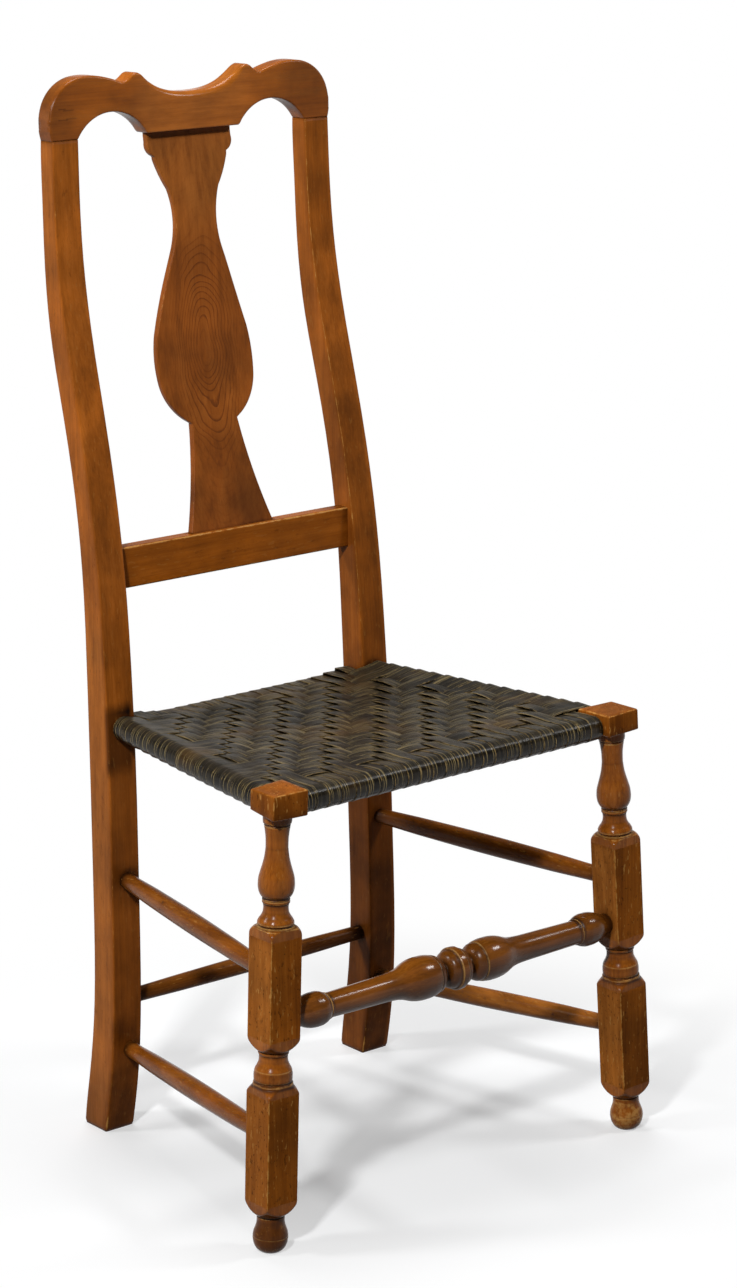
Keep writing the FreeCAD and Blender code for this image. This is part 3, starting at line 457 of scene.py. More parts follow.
# Front stretcher: one maple turning between the legs, symmetrical about a central disc.
# Two bulbs flank the disc, the shafts taper outward to a ball at each end,
# and the round tenons are driven into the upper squares of the legs.
STRETCHER_CUTS = [
    (0.4, [(0, 20.9), (2.6, 20.8), (3.9, 20.2)]),
    (0.3, [(4.5, 18.6), (5.2, 18.4)]),
    (0.4, [(8, 18), (10.6, 16.4), (12.8, 13.2), (14, 10.2), (14.5, 8.9)]),
    (0.3, [(15.8, 8.7), (17.1, 8.9)]),
    (0.4, [(17.7, 10.4), (19.2, 13.6), (21.8, 16.6), (24.6, 18.3), (27, 18.8)]),
    (0.3, [(27.6, 18.1), (28.3, 19.3)]),
    (0.6, [(33, 20.3), (38, 20.85), (44, 20.9), (50, 20.4), (56, 19.1), (62, 16.9)]),
    (0.8, [(68, 14.9), (75, 13.7), (86, 13), (110, 12.6), (154, 11.9)]),
    (0.3, [(154.8, 13), (157, 13.1), (157.6, 13.7)]),
    (0.5, [(161, 15.5), (166, 16.5), (171, 16.5), (176, 15.9), (181, 14.4),
           (185, 12.6)]),
    (0.6, [(189, 11), (194, 10), (198, 9.6), (214, 8)]),
]
# The pale lines at 3.5 and 28.5 mm out are painted highlights on the sharp rims of the disc and the bulbs.
STRETCHER_LINES = [-156.0, -28.5, -3.5, 3.5, 28.5, 156.0]
STRETCHER_HALF = 0.21437
STRETCHER_Y = -0.19277
STRETCHER_Z = 0.22241
half_cuts = chained(STRETCHER_CUTS)
mirror_cuts = [(step, [(-at, size) for at, size in points[::-1]]) for step, points in half_cuts[::-1]]
centre = (0.0, STRETCHER_Y, STRETCHER_Z)
stop = (STRETCHER_HALF, STRETCHER_Y, STRETCHER_Z)
points, marks = turning(centre, stop, mirror_cuts + half_cuts, STRETCHER_LINES, around=80)
sockets = [((across, STRETCHER_Y, 0.2224), 0.010) for across in (-0.197, 0.197)]
underneath = (STRETCHER_Z - points[..., 2]) / np.ptp(points[..., 2], axis=1)[:, None] * 2
out = np.abs(points[..., 0])
# Grime at the sockets, painted shade on the underside, where the varnish is also less worn, and painted shade
# in the necks between the disc and the bulbs.
marks["grime"] = most(
    marks["grime"],
    near(points, sockets),
    0.85 * ease_in(-0.5, 0.6, underneath),
    0.50 * between(0.0040, 0.0060, 0.0250, 0.0275, out),
)
marks["arris"] = 0.6 * marks["arris"]
# Painted light: the top of the stretcher a little paler than the rest.
marks["scuff"] = 0.06 * ease_in(0.0, -0.7, underneath)
# Browner and glossier than the legs, so that the bulbs carry a bright line along their tops.
stretcher_maple = varnished_maple(
    "maple_turned_dark_varnish", "x", ("#5f3107", "#78420e", "#8c5217"), (0.31, 0.0, 0.4),
    knocks=0.4, rough=0.17, shine=0.23,
)
stretcher = solid("turned_front_stretcher", points, shell(points), stretcher_maple, **marks)
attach(stretcher, "root")
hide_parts("front_stretcher")


# Rear posts: sawn maple, square in section, curved back above the seat and kicked back at the foot.
# They taper to the crest, which sits on a tenon at each head, and all four arrises
# are eased with a spokeshave. Rails and stretchers enter their front and inner faces.
def section(node, axis, level):
    """Lowest and highest corner of a frame solid where a plane cuts it."""
    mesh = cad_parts[node].data
    corners = np.empty(len(mesh.vertices) * 3)
    mesh.vertices.foreach_get("co", corners)
    corners = corners.reshape(-1, 3)
    edges = np.empty(len(mesh.edges) * 2, dtype=int)
    mesh.edges.foreach_get("vertices", edges)
    first, last = corners[edges[0::2]], corners[edges[1::2]]
    crossing = (first[:, axis] - level) * (last[:, axis] - level) < 0
    first, last = first[crossing], last[crossing]
    share = (level - first[:, axis]) / (last[:, axis] - first[:, axis])
    hits = first + share[:, None] * (last - first)
    return hits.min(axis=0), hits.max(axis=0)


POST_TOP = 0.9890
POST_SKIN = 0.0006
# Place and radius of each stretcher and rail where it enters the right post.
POST_SOCKETS = [
    ((0.158, 0.1190, 0.2684), 0.010),
    ((0.158, 0.1240, 0.0884), 0.010),
    ((0.150, 0.1374, 0.1374), 0.010),
    ((0.156, 0.1170, 0.4240), 0.013),
    ((0.143, 0.1401, 0.4130), 0.013),
]
SEAT_LEVEL = 0.420
# Planed flat and rubbed to a soft satin, with a few bruises.
post_maple = varnished_maple(
    "maple_planed_amber_varnish", "z", ("#8a4a13", "#a55a1a", "#b46624"), (0.9, 0.4, 0.0), knocks=0.45,
)
for side_name, side in (("left", -1), ("right", 1)):
    node = f"post_{side_name}"
    rows = []
    for height in np.linspace(0.0, POST_TOP, 260):
        low, high = section(node, 2, np.clip(height, POST_SKIN, POST_TOP - POST_SKIN))
        corners = ((low[0], low[1]), (high[0], low[1]), (high[0], high[1]), (low[0], high[1]))
        rows.append([(x, y, height) for x, y in corners])
    rows = np.array(rows)
    # The rim of the foot is worn in a little.
    rows[0] = rows[0] + 0.05 * (rows[0].mean(axis=0) - rows[0])
    points, marks = squared(rows, radius=0.0018)
    heights = points[..., 2]
    marks["arris"] = marks["arris"] * np.where(heights < 0.02, 0.9, 0.55)
    around = np.arange(points.shape[1])[None, :]
    # The faces in order are front, right, back and left.
    face = around * 4 // points.shape[1]
    front = face == 0
    outer = np.where(face == (3 if side < 0 else 1), 0.15, 1.0)

    # Grime at the joints, under the crest and on the floor, and a dark band where the seat meets the posts,
    # partly stain and partly painted shade of the seat.
    grime = [
        near(points, POST_SOCKETS, side),
        0.8 * np.exp(-(POST_TOP - heights) / 0.0022),
        0.5 * np.exp(-heights / 0.006),
        0.60 * outer * np.exp(-((heights - SEAT_LEVEL) / 0.020) ** 2),
    ]
    if side < 0:
        # Dark patches by the seat, the upper stretcher and the foot, the one by the seat partly painted
        # shade, and a left face rubbed thin.
        grime += [
            1.25 * front * between(0.366, 0.390, 0.438, 0.456, heights),
            0.66 * front * np.exp(-((heights - 0.262) / 0.026) ** 2),
            0.64 * front * ease_in(0.140, 0.112, heights),
            0.50 * ease_in(0.090, 0.010, heights),
            0.16 * front * ease_in(0.90, 0.80, heights),
        ]
        rubbed = most(ease_in(0.56, 0.50, heights), 0.4 * ease_in(0.82, 0.88, heights))
        marks["scuff"] = np.where(face == 3, 0.19, 0.0) * rubbed
    else:
        # Painted shade below the seat, where the seat hides the light, over some stain, dusky higher up, and
        # a bright rubbed arris towards the splat.
        low_front_shade = 0.74 + 0.18 * ease_in(0.16, 0.10, heights)
        grime += [
            np.where(front, low_front_shade, 0.52 * outer) * ease_in(0.43, 0.38, heights),
            outer * (0.24 + 0.18 * ease_in(0.80, 0.62, heights)),
        ]
        inner_arris = np.exp(-((around - 2.0) / 1.1) ** 2)
        marks["arris"] = most(marks["arris"], 0.85 * inner_arris * (heights > 0.5))
        marks["scuff"] = 0 * heights
    marks["grime"] = most(*grime)
    post = solid(f"shaved_post_{side_name}", points, shell(points), post_maple, **marks)
    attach(post, "root")
    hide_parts(node)


# Side and rear stretchers: riven maple sticks, shaved to a slight barrel and thinned at both ends.
# Two cross each side between leg and post and one joins the posts behind.
# The ends are driven into bored sockets, with old grime round each one.

# Shaved with a drawknife: a brown varnish with many knocks, darker on the stick behind.
stick_maple = varnished_maple(
    "maple_shaved_brown_varnish", "y", ("#6f380b", "#8b4c13", "#9f5f20"), (0.2, 0.7, 0.1),
    knocks=0.7, rough=0.26, shine=0.12,
)
rear_maple = varnished_maple(
    "maple_shaved_brown_varnish_rear", "x", ("#54290a", "#6c3b0f", "#7f4a19"), (0.5, 0.2, 0.6), knocks=0.7,
)
# Both ends of each axis, then the radius at the belly and at the tips in millimetres.
STICKS = {"rear_stretcher": ((-0.16322, 0.13742, 0.1374), (0.16322, 0.13742, 0.1374), 9.2, 7.6)}
for side_name, side in (("left", -1), ("right", 1)):
    for height, leg_end, post_end in (
        ("upper", (0.21207, -0.1925, 0.26442), (0.15789, 0.1370, 0.26838)),
        ("lower", (0.22022, -0.19357, 0.10848), (0.1579, 0.13699, 0.08842)),
    ):
        ends = [(side * x, y, z) for x, y, z in (leg_end, post_end)]
        STICKS[f"side_stretcher_{height}_{side_name}"] = (*ends, 10.1, 8.0)
for node, (start, stop, belly, tip) in STICKS.items():
    length = (Vector(stop) - Vector(start)).length * 1000
    sizes = (tip, tip, 0.93 * belly, belly, 0.93 * belly, tip, tip)
    barrel = [(share * length, size) for share, size in zip((0.0, 0.06, 0.25, 0.5, 0.75, 0.94, 1.0), sizes)]
    points, marks = turning(start, stop, [(3.0, barrel)], around=48)
    # How much of each end is inside its socket.
    inset = 0.021 if "side" in node else 0.019
    way = (Vector(stop) - Vector(start)).normalized()
    sockets = [(Vector(start) + way * inset, 0.008), (Vector(stop) - way * inset, 0.008)]
    spine = points[..., 2].mean(axis=1)[:, None]
    underneath = (spine - points[..., 2]) / (belly / 1000)
    # Grime at the sockets, and painted shade on the underside of each stick.
    marks["grime"] = most(near(points, sockets), 0.45 * ease_in(0.0, 0.9, underneath))
    marks["scuff"] = np.full(underneath.shape, 0.28 if node == "side_stretcher_lower_right" else 0.0)
    finish = rear_maple if "rear" in node else stick_maple
    stick = solid(f"shaved_{node}", points, shell(points), finish, **marks)
    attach(stick, "root")
    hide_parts(node)


# Lower back rail: a planed maple bar, tenoned into both posts, with a groove in its top for the splat.
# Its top front arris is rubbed pale by sitters.
RAIL_HALF = 0.1468
POST_SEAM = 0.1455
SPLAT_FOOT_HALF = 0.0515
SPLAT_GROOVE_Y = 0.1457
low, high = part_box("lower_back_rail")
# Planed and satin like the posts, a little redder.
rail_maple = varnished_maple(
    "maple_planed_amber_varnish_rail", "x", ("#8b480c", "#9d5411", "#aa5e18"), (0.15, 0.3, 0.8), knocks=0.45,
)
corners = ((low.y, low.z), (low.y, high.z), (high.y, high.z), (high.y, low.z))
rows = [[(across, y, z) for y, z in corners] for across in np.linspace(-RAIL_HALF, RAIL_HALF, 90)]
points, marks = squared(rows, radius=0.0022)
seam = np.exp(-np.clip(POST_SEAM - np.abs(points[..., 0]), 0, None) / 0.011)
groove = np.exp(-np.abs(points[..., 2] - high.z) / 0.002) * (np.abs(points[..., 0]) < SPLAT_FOOT_HALF)
groove = groove * np.exp(-np.abs(points[..., 1] - SPLAT_GROOVE_Y) / 0.003)
marks["grime"] = most(0.8 * seam, groove)
rail = solid("planed_lower_rail", points, shell(points), rail_maple, **marks)
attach(rail, "root")
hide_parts("lower_back_rail")


# Splat: a thin board of flat-sawn maple, cut to a vase outline with a bow saw and bent to the back.
# Its figure is nested long ellipses, and it is slid into grooves in the crest and the lower rail.
LIP = np.array([0.0, 0.0003, 0.0008, 0.0016, 0.0027, 0.0041, 0.0058, 0.0080])
RING_HEART = (0.001, 0.0, 0.773)
RING_STRETCH = 2.9
RING_SPACING = 0.0034
CREST_SEAM = 0.9950
RAIL_SEAM = 0.5975


def board(stations, lows, highs, fronts, backs, ease, lift, rows=44):
    """Points, faces and marks of a board whose outline is its low and high edge at each station."""
    count = len(stations)
    grid = np.zeros((count, rows))
    for k in range(count):
        room = highs[k] - lows[k]
        lip = np.minimum(LIP, room * np.linspace(0, 0.3, len(LIP)))
        middle = np.linspace(lip[-1], room - lip[-1], rows - 2 * len(lip) + 2)
        grid[k] = lows[k] + np.concatenate([lip[:-1], middle, room - lip[-2::-1]])
    place = np.stack([np.repeat(stations[:, None], rows, axis=1), grid], axis=-1)
    outline = [np.stack([stations, lows], axis=-1), np.stack([stations, highs], axis=-1)]
    for end in (0, -1):
        edge = np.linspace(lows[end], highs[end], 30)
        outline.append(np.stack([np.full(30, stations[end]), edge], axis=-1))
    outline = np.concatenate(outline)
    gap = np.zeros((count, rows))
    upper = np.zeros((count, rows))
    for k in range(count):
        reach = np.linalg.norm(place[k][:, None] - outline[None], axis=-1)
        gap[k] = reach.min(axis=1)
        nearest = reach.argmin(axis=1)
        upper[k] = (nearest >= count) & (nearest < 2 * count)
    sheets = []
    for sign, face, (low_ease, high_ease) in ((1, fronts, ease[0]), (-1, backs, ease[1])):
        round_off = np.where(upper > 0.5, high_ease, low_ease)
        short = np.clip(round_off - gap, 0, None)
        drop = round_off - np.sqrt(np.clip(round_off ** 2 - short ** 2, 0, None))
        sheets.append(lift(place[..., 0], face[:, None] + sign * drop, grid))
    rim = [k * rows for k in range(count)] + [(count - 1) * rows + k for k in range(1, rows)]
    rim += [k * rows + rows - 1 for k in range(count - 2, -1, -1)] + [k for k in range(rows - 2, 0, -1)]
    front, back = (sheet.reshape(-1, 3) for sheet in sheets)
    walls = [(1 - t) * front[rim] + t * back[rim] for t in (0.25, 0.5, 0.75)]
    points = np.concatenate([front, back] + walls)
    faces = []
    for k in range(count - 1):
        for r in range(rows - 1):
            a = k * rows + r
            faces.append((a, a + rows, a + rows + 1, a + 1))
            faces.append(tuple(len(front) + q for q in (a, a + 1, a + rows + 1, a + rows)))
    loops = [rim] + [[2 * len(front) + w * len(rim) + q for q in range(len(rim))] for w in range(3)]
    loops.append([len(front) + q for q in rim])
    for first, last in zip(loops, loops[1:]):
        for q in range(len(rim)):
            after = (q + 1) % len(rim)
            faces.append((first[q], first[after], last[after], last[q]))
    arris = np.exp(-np.clip(gap - 0.0008, 0, None) / 0.0013).ravel()
    wall = np.concatenate([np.full(len(rim), share) for share in (0.55, 0.3, 0.55)])
    return points, faces, np.concatenate([arris, arris, wall])


def flat_sawn(put, place, band):
    """Yearly rings as nested long ellipses that waver, faint at their heart and far from it."""
    aim = put("VectorMath", [place, RING_HEART], "SUBTRACT")
    drawn = put("Mapping", {"Vector": aim, "Scale": (1.0, 0.0, 1.0 / RING_STRETCH)})
    # The rings sway to and fro over about 71 mm.
    bend = put("TexNoise", {"Vector": place, "Scale": 14.0, "Detail": 2.0})
    reach = put("VectorMath", [drawn], "LENGTH")
    waver = put("Math", [bend, 0.024, reach], "MULTIPLY_ADD")
    year = put("Math", [waver, RING_SPACING], "DIVIDE")
    saw = put("Math", [year], "FRACT")
    ring = put("MapRange", [saw, 0.66, 0.98, 0.0, 1.0], interpolation_type="SMOOTHSTEP")
    fade = put("MapRange", [reach, 0.026, 0.044, -0.46, -0.10])
    heart = put("MapRange", [reach, 0.005, 0.011, 0.20, 1.0])
    patch = put("MapRange", [band, 0.35, 0.60, 0.45, 1.25])
    shown = put("Math", [heart, patch], "MULTIPLY")
    depth = put("Math", [fade, shown], "MULTIPLY")
    return put("Math", [ring, depth, band], "MULTIPLY_ADD")


low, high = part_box("splat")
stations = np.linspace(low.z + 0.0004, high.z - 0.0004, 420)
cuts = np.array([section("splat", 2, at) for at in stations])
points, faces, arris = board(
    stations,
    cuts[:, 0, 0],
    cuts[:, 1, 0],
    cuts[:, 0, 1],
    cuts[:, 1, 1],
    ease=((0.0014, 0.0014), (0.0014, 0.0014)),
    lift=lambda along, deep, across: np.stack([across, deep, along], axis=-1),
)
heights = points[:, 2]
# Painted shade on the splat under the crest, grime where it stands in the rail, and darker towards its foot.
shade_under_crest = np.exp(-np.clip(CREST_SEAM - heights + 0.02 * (np.abs(points[:, 0]) / 0.05), 0, None) / 0.022)
on_rail = np.exp(-np.clip(heights - RAIL_SEAM, 0, None) / 0.004)
# Redder and darker than the frame, so that the rings of the board show through the varnish.
splat_maple = varnished_maple(
    "maple_flat_sawn_red_varnish", "z", ("#6a3510", "#944f19", "#a45d23"), (0.05, 0.9, 0.3),
    rings=flat_sawn, shine=0.10,
)
splat = solid(
    "flat_sawn_splat",
    points,
    faces,
    splat_maple,
    arris=0.5 * arris,
    grime=most(0.80 * shade_under_crest, 0.8 * on_rail, 0.42 * ease_in(0.74, 0.63, heights)),
    scribe=0 * arris,
    scuff=0.18 * ease_in(0.86, 0.93, heights),
)
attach(splat, "root")
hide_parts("splat")


# Crest rail: a yoke sawn from a maple plank, dipped in the middle, with rounded ears over the posts.
# Its top front edge is rounded over for the sitter's back, and it is mortised onto the post heads.

# Top edge of the saddle from the middle out, as (distance, height) in millimetres.
SADDLE = [
    (0.0, 1026.0), (10.0, 1026.3), (20.0, 1027.3), (30.0, 1029.4), (40.0, 1032.9), (50.0, 1038.6),
    (56.0, 1042.9), (61.0, 1046.4), (66.0, 1048.2), (69.5, 1047.3), (74.0, 1044.0), (79.0, 1041.0),
    (83.5, 1040.4), (88.0, 1041.9), (92.0, 1043.2),
]
SADDLE_HALF = 0.090
POST_EDGE = 0.132
# Dark scratches on the left ear, each from one side to the other at a height.
SCRATCHES = [
    (-0.1585, -0.1500, 1.0190), (-0.1530, -0.1410, 1.0176),
    (-0.1590, -0.1480, 1.0086), (-0.1500, -0.1380, 1.0096),
]
low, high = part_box("crest_rail")
# The stations stand closer together towards the ears.
sweep = 1 - np.cos(np.linspace(0.05, math.pi - 0.05, 300)) / math.cos(0.05)
stations = low.x + 0.0003 + (high.x - low.x - 0.0006) * sweep / 2
cuts = np.array([section("crest_rail", 0, at) for at in stations])
reach, rise = smooth(SADDLE, 0.25)
saddle = np.interp(np.abs(stations) * 1000, reach, rise) / 1000
tops = np.where(np.abs(stations) < SADDLE_HALF, saddle, cuts[:, 1, 2])
rounding = (0.0026 + 0.0042 * ease_in(0.064, 0.050, np.abs(stations)))[:, None]
points, faces, arris = board(
    stations,
    cuts[:, 0, 2],
    tops,
    np.full(len(stations), low.y),
    np.full(len(stations), high.y),
    ease=((0.0015, rounding), (0.0015, 0.0020)),
    lift=lambda along, deep, across: np.stack([along, deep, across], axis=-1),
    rows=84,
)
out = np.abs(points[:, 0])
on_post = np.exp(-np.clip(points[:, 2] - low.z, 0, None) / 0.002) * (out > POST_EDGE)
grime = [0.8 * on_post, 0.47 * ease_in(0.06, 0.10, out)]
for start, stop, height in SCRATCHES:
    within = (points[:, 0] > start) & (points[:, 0] < stop) & (points[:, 1] < low.y + 0.003)
    grime.append(0.85 * within * np.exp(-((points[:, 2] - height) / 0.0011) ** 2))
# Sawn and polished by hands: the glossiest flat of the chair, with a bright line along the saddle.
crest_maple = varnished_maple(
    "maple_sawn_amber_varnish", "x", ("#904b0f", "#a65914", "#b3661c"), (0.7, 0.1, 0.2),
    rough=0.21, shine=0.14,
)
crest = solid(
    "yoke_crest",
    points,
    faces,
    crest_maple,
    arris=0.40 * arris,
    grime=most(*grime),
    scribe=0 * arris,
    scuff=0.15 * ease_in(0.08, 0.05, out),
)
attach(crest, "root")
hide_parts("crest_rail")


# Seat rails: four bars of riven ash, shaved to eight sides and left bare inside the weave.
# They show only at the corners and from below, grey-brown and dry.
bare_ash = varnished_maple("ash_shaved_bare", "y", ("#4a3a22", "#66523a", "#7c6847"), (0.4, 0.4, 0.4))
for node in ("seat_rail_front", "seat_rail_rear", "seat_rail_left", "seat_rail_right"):
    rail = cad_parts[node]
    rail.data.materials.clear()
    rail.data.materials.append(bare_ash)


# Splints: long ribbons of split ash, painted dark and worn, wound round the rails and woven
# in a twill that passes over two and under two. The lengthwise ones go over the front and
# rear rails, and the crosswise ones round the side rails, with short ones in the front corners.
SPLINT_THICK = 0.0009
WARP_COUNT = 24
WARP_PITCH = 0.01527
WARP_WIDTH = 0.0159
WEFT_COUNT = 15
WEFT_FIRST = 0.0375
WEFT_PITCH = 0.01864
WEFT_WIDTH = 0.0189
RAIL_RADIUS = 0.0111
RAIL_WRAP = RAIL_RADIUS + SPLINT_THICK / 2
FRONT_RAIL = (-0.19093, 0.4250)
REAR_RAIL = (0.14007, 0.4130)
SEAT_DEPTH = REAR_RAIL[0] - FRONT_RAIL[0]
SIDE_START, SIDE_RUN = 0.00865, 0.3110
SIDE_HALF, SIDE_TAPER = 0.20371, 0.04771
SIDE_UP, SIDE_FALL = 0.4265, 0.0025
# Half the room between the posts, and how far splints that end or cross stay off the side rails.
REAR_HALF = 0.1430
END_GAP, CROSS_GAP = 0.0135, 0.012
SEAT_SAG = 0.003
LIFT = 0.0014
STEP = 0.003
chance = np.random.default_rng(7)


def side_rail(depth):
    """Half width and height of the side rails' axes at a depth behind the front rail."""
    share = (depth - SIDE_START) / SIDE_RUN
    return SIDE_HALF - SIDE_TAPER * share, SIDE_UP - SIDE_FALL * share


def end_rails(depth):
    """Height of the straight line from the front rail's axis to the rear rail's."""
    return FRONT_RAIL[1] + (REAR_RAIL[1] - FRONT_RAIL[1]) * depth / SEAT_DEPTH


def climb(across, half):
    """How far a splint has left the middle of the seat for the side rails, from 0 to 1."""
    return np.clip((np.abs(across) / half - 0.45) / 0.55, 0, 1) ** 2


def seat_height(across, depth):
    """Mean height of the weave on the seat's top, which sags a little between the rails."""
    share = depth / SEAT_DEPTH
    half, rail_up = side_rail(depth)
    plain = end_rails(depth) + RAIL_RADIUS
    rise = rail_up + RAIL_RADIUS - plain
    out = np.clip(np.abs(across) / half, 0, 1)
    sag = SEAT_SAG * between(0.0, 0.3, 0.7, 1.0, share) * (1 - out ** 2)
    return plain + rise * climb(across, half) * ease_in(0.0, 0.12, share) - sag


def over(warp, weft):
    """1 where a lengthwise splint passes over a crosswise one, else -1."""
    return 1 if (warp - weft) % 4 in (0, 1) else -1


def weave(at, centres, signs, pitch):
    """Over-and-under of one splint along its run, arched where it passes two crossings."""
    place = (at - centres[0]) / pitch
    k = np.clip(np.floor(place), 0, len(centres) - 2).astype(int)
    t = np.clip(place - k, 0, 1)
    first, last = signs[k], signs[k + 1]
    arch = first * (1 + 0.3 * np.sin(math.pi * t))
    value = np.where(first == last, arch, first * np.cos(math.pi * t))
    tail = 1.2 * pitch
    return LIFT * value * between(centres[0] - tail, centres[0], centres[-1], centres[-1] + tail, at)


def bent(start, stop):
    """Steps out and up along a splint that bends round a rail."""
    turn = np.radians(np.linspace(start, stop, 17))
    return [(RAIL_WRAP * math.cos(a), RAIL_WRAP * math.sin(a)) for a in turn]


upward = bent(270, 90)[1:-1]
downward = bent(90, -90)
warp_centres = [(k - (WARP_COUNT - 1) / 2) * WARP_PITCH for k in range(WARP_COUNT)]
weft_depths = [WEFT_FIRST + k * WEFT_PITCH for k in range(WEFT_COUNT)]
warp_lines = []
for warp, across in enumerate(warp_centres):
    across = across + chance.uniform(-0.0005, 0.0005)
    reach = abs(across) + WARP_WIDTH / 2
    full = reach < REAR_HALF
    stop = SEAT_DEPTH if full else SIDE_START + SIDE_RUN * (SIDE_HALF - reach - END_GAP) / SIDE_TAPER
    run = np.arange(0.0, stop, STEP)
    signs = np.array([over(warp, weft) for weft in range(WEFT_COUNT)])
    drift = chance.uniform(-0.0006, 0.0006)
    waves = weave(run, weft_depths, signs, WEFT_PITCH)
    rest = SPLINT_THICK / 2 * (1 - between(0.01, 0.03, SEAT_DEPTH - 0.03, SEAT_DEPTH - 0.01, run))
    places = [(across + drift * d / SEAT_DEPTH, FRONT_RAIL[0] + d) for d in run]
    top = [(*spot, z) for spot, z in zip(places, seat_height(across, run) + rest + waves)]
    under = [(*spot, z) for spot, z in zip(places, end_rails(run) - RAIL_WRAP - waves)]
    nose = [(across, FRONT_RAIL[0] + out, FRONT_RAIL[1] + up) for out, up in upward]
    tail = [(across + drift, REAR_RAIL[0] + out, REAR_RAIL[1] + up) for out, up in downward]
    if full:
        warp_lines.append((nose + top + tail + under[::-1], True))
    else:
        warp_lines.append((under[::-1] + nose + top, False))
weft_lines = []
for weft, depth in enumerate(weft_depths):
    half, rail_up = side_rail(depth)
    back = FRONT_RAIL[0] + depth
    run = np.arange(-half, half, STEP)
    inside = [k for k in range(WARP_COUNT) if abs(warp_centres[k]) + WARP_WIDTH / 2 + CROSS_GAP < half]
    signs = np.array([-over(warp, weft) for warp in inside])
    waves = weave(run, [warp_centres[k] for k in inside], signs, WARP_PITCH)
    rest = SPLINT_THICK / 2 * ease_in(half - 0.03, half - 0.005, np.abs(run))
    skew = chance.uniform(-0.0007, 0.0007)
    places = [(x, back + skew * x / half) for x in run]
    top = [(*spot, z) for spot, z in zip(places, seat_height(run, depth) + rest + waves)]
    flat = end_rails(depth) - RAIL_WRAP
    hang = flat + (rail_up - RAIL_WRAP - flat) * climb(run, half)
    under = [(*spot, z) for spot, z in zip(places, hang - waves)]
    left = [(-half + out, back - skew, rail_up + up) for out, up in upward]
    right = [(half + out, back + skew, rail_up + up) for out, up in downward]
    weft_lines.append((left + top + right + under[::-1], True))

# The ribbon tree sweeps a thin eased rectangle along every path and marks where each point lies.
ribbon = bpy.data.node_groups.new("splint_ribbon", "GeometryNodeTree")
put = partial(add, ribbon)
SOCKETS = {
    "Geometry": "Geometry", "Width": "Float", "Thickness": "Float", "Eased Edge": "Float",
    "Flat Share": "Float", "Seed": "Int", "Finish": "Material",
}
for name, kind in SOCKETS.items():
    ribbon.interface.new_socket(name, in_out="INPUT", socket_type=f"NodeSocket{kind}")
ribbon.interface.new_socket("Geometry", in_out="OUTPUT", socket_type="NodeSocketGeometry")
given = put("NodeGroupInput").outputs
length = put("GeometryNodeSplineParameter").outputs["Length"]
owner = put("GeometryNodeCurveOfPoint").outputs["Curve Index"]
tone = put("FunctionNodeRandomValue", {"ID": owner, "Seed": given["Seed"]}, data_type="FLOAT").outputs[1]
marked = given["Geometry"]
for name, value in (("along", length), ("tone", tone)):
    marked = put("GeometryNodeStoreNamedAttribute", {"Geometry": marked, "Name": name, "Value": value})
size = {"Width": given["Width"], "Height": given["Thickness"]}
outline = put("GeometryNodeCurvePrimitiveQuadrilateral", size, mode="RECTANGLE")
parted = put("GeometryNodeSubdivideCurve", {"Curve": outline, "Cuts": 2})
easing = {"Curve": parted, "Radius": given["Eased Edge"], "Count": 1}
eased = put("GeometryNodeFilletCurve", easing, mode="POLY")
spot_x = put("SeparateXYZ", [put("GeometryNodeInputPosition")])
half_width = put("Math", [given["Width"], 0.5], "MULTIPLY")
share = put("Math", [spot_x, half_width], "DIVIDE")
out = put("Math", [share], "ABSOLUTE")
inside = put("Math", [out, 0.6], "LESS_THAN")
push = put("Math", [inside, given["Flat Share"]], "MULTIPLY")
slide = put("Math", [spot_x, push], "MULTIPLY")
shove = put("CombineXYZ", [slide])
flattened = put("GeometryNodeSetPosition", {"Geometry": eased, "Offset": shove})
edge = put("GeometryNodeStoreNamedAttribute", {"Geometry": flattened, "Name": "across", "Value": share})
swept = put("GeometryNodeCurveToMesh", {"Curve": marked, "Profile Curve": edge, "Fill Caps": True})
welded = put("GeometryNodeMergeByDistance", {"Geometry": swept, "Distance": 0.000001})
soft = put("GeometryNodeSetShadeSmooth", {"Geometry": welded})
whole = put("GeometryNodeRealizeInstances", {"Geometry": soft})
dressed = put("GeometryNodeSetMaterial", {"Geometry": whole, "Material": given["Finish"]})
put("NodeGroupOutput", [dressed])


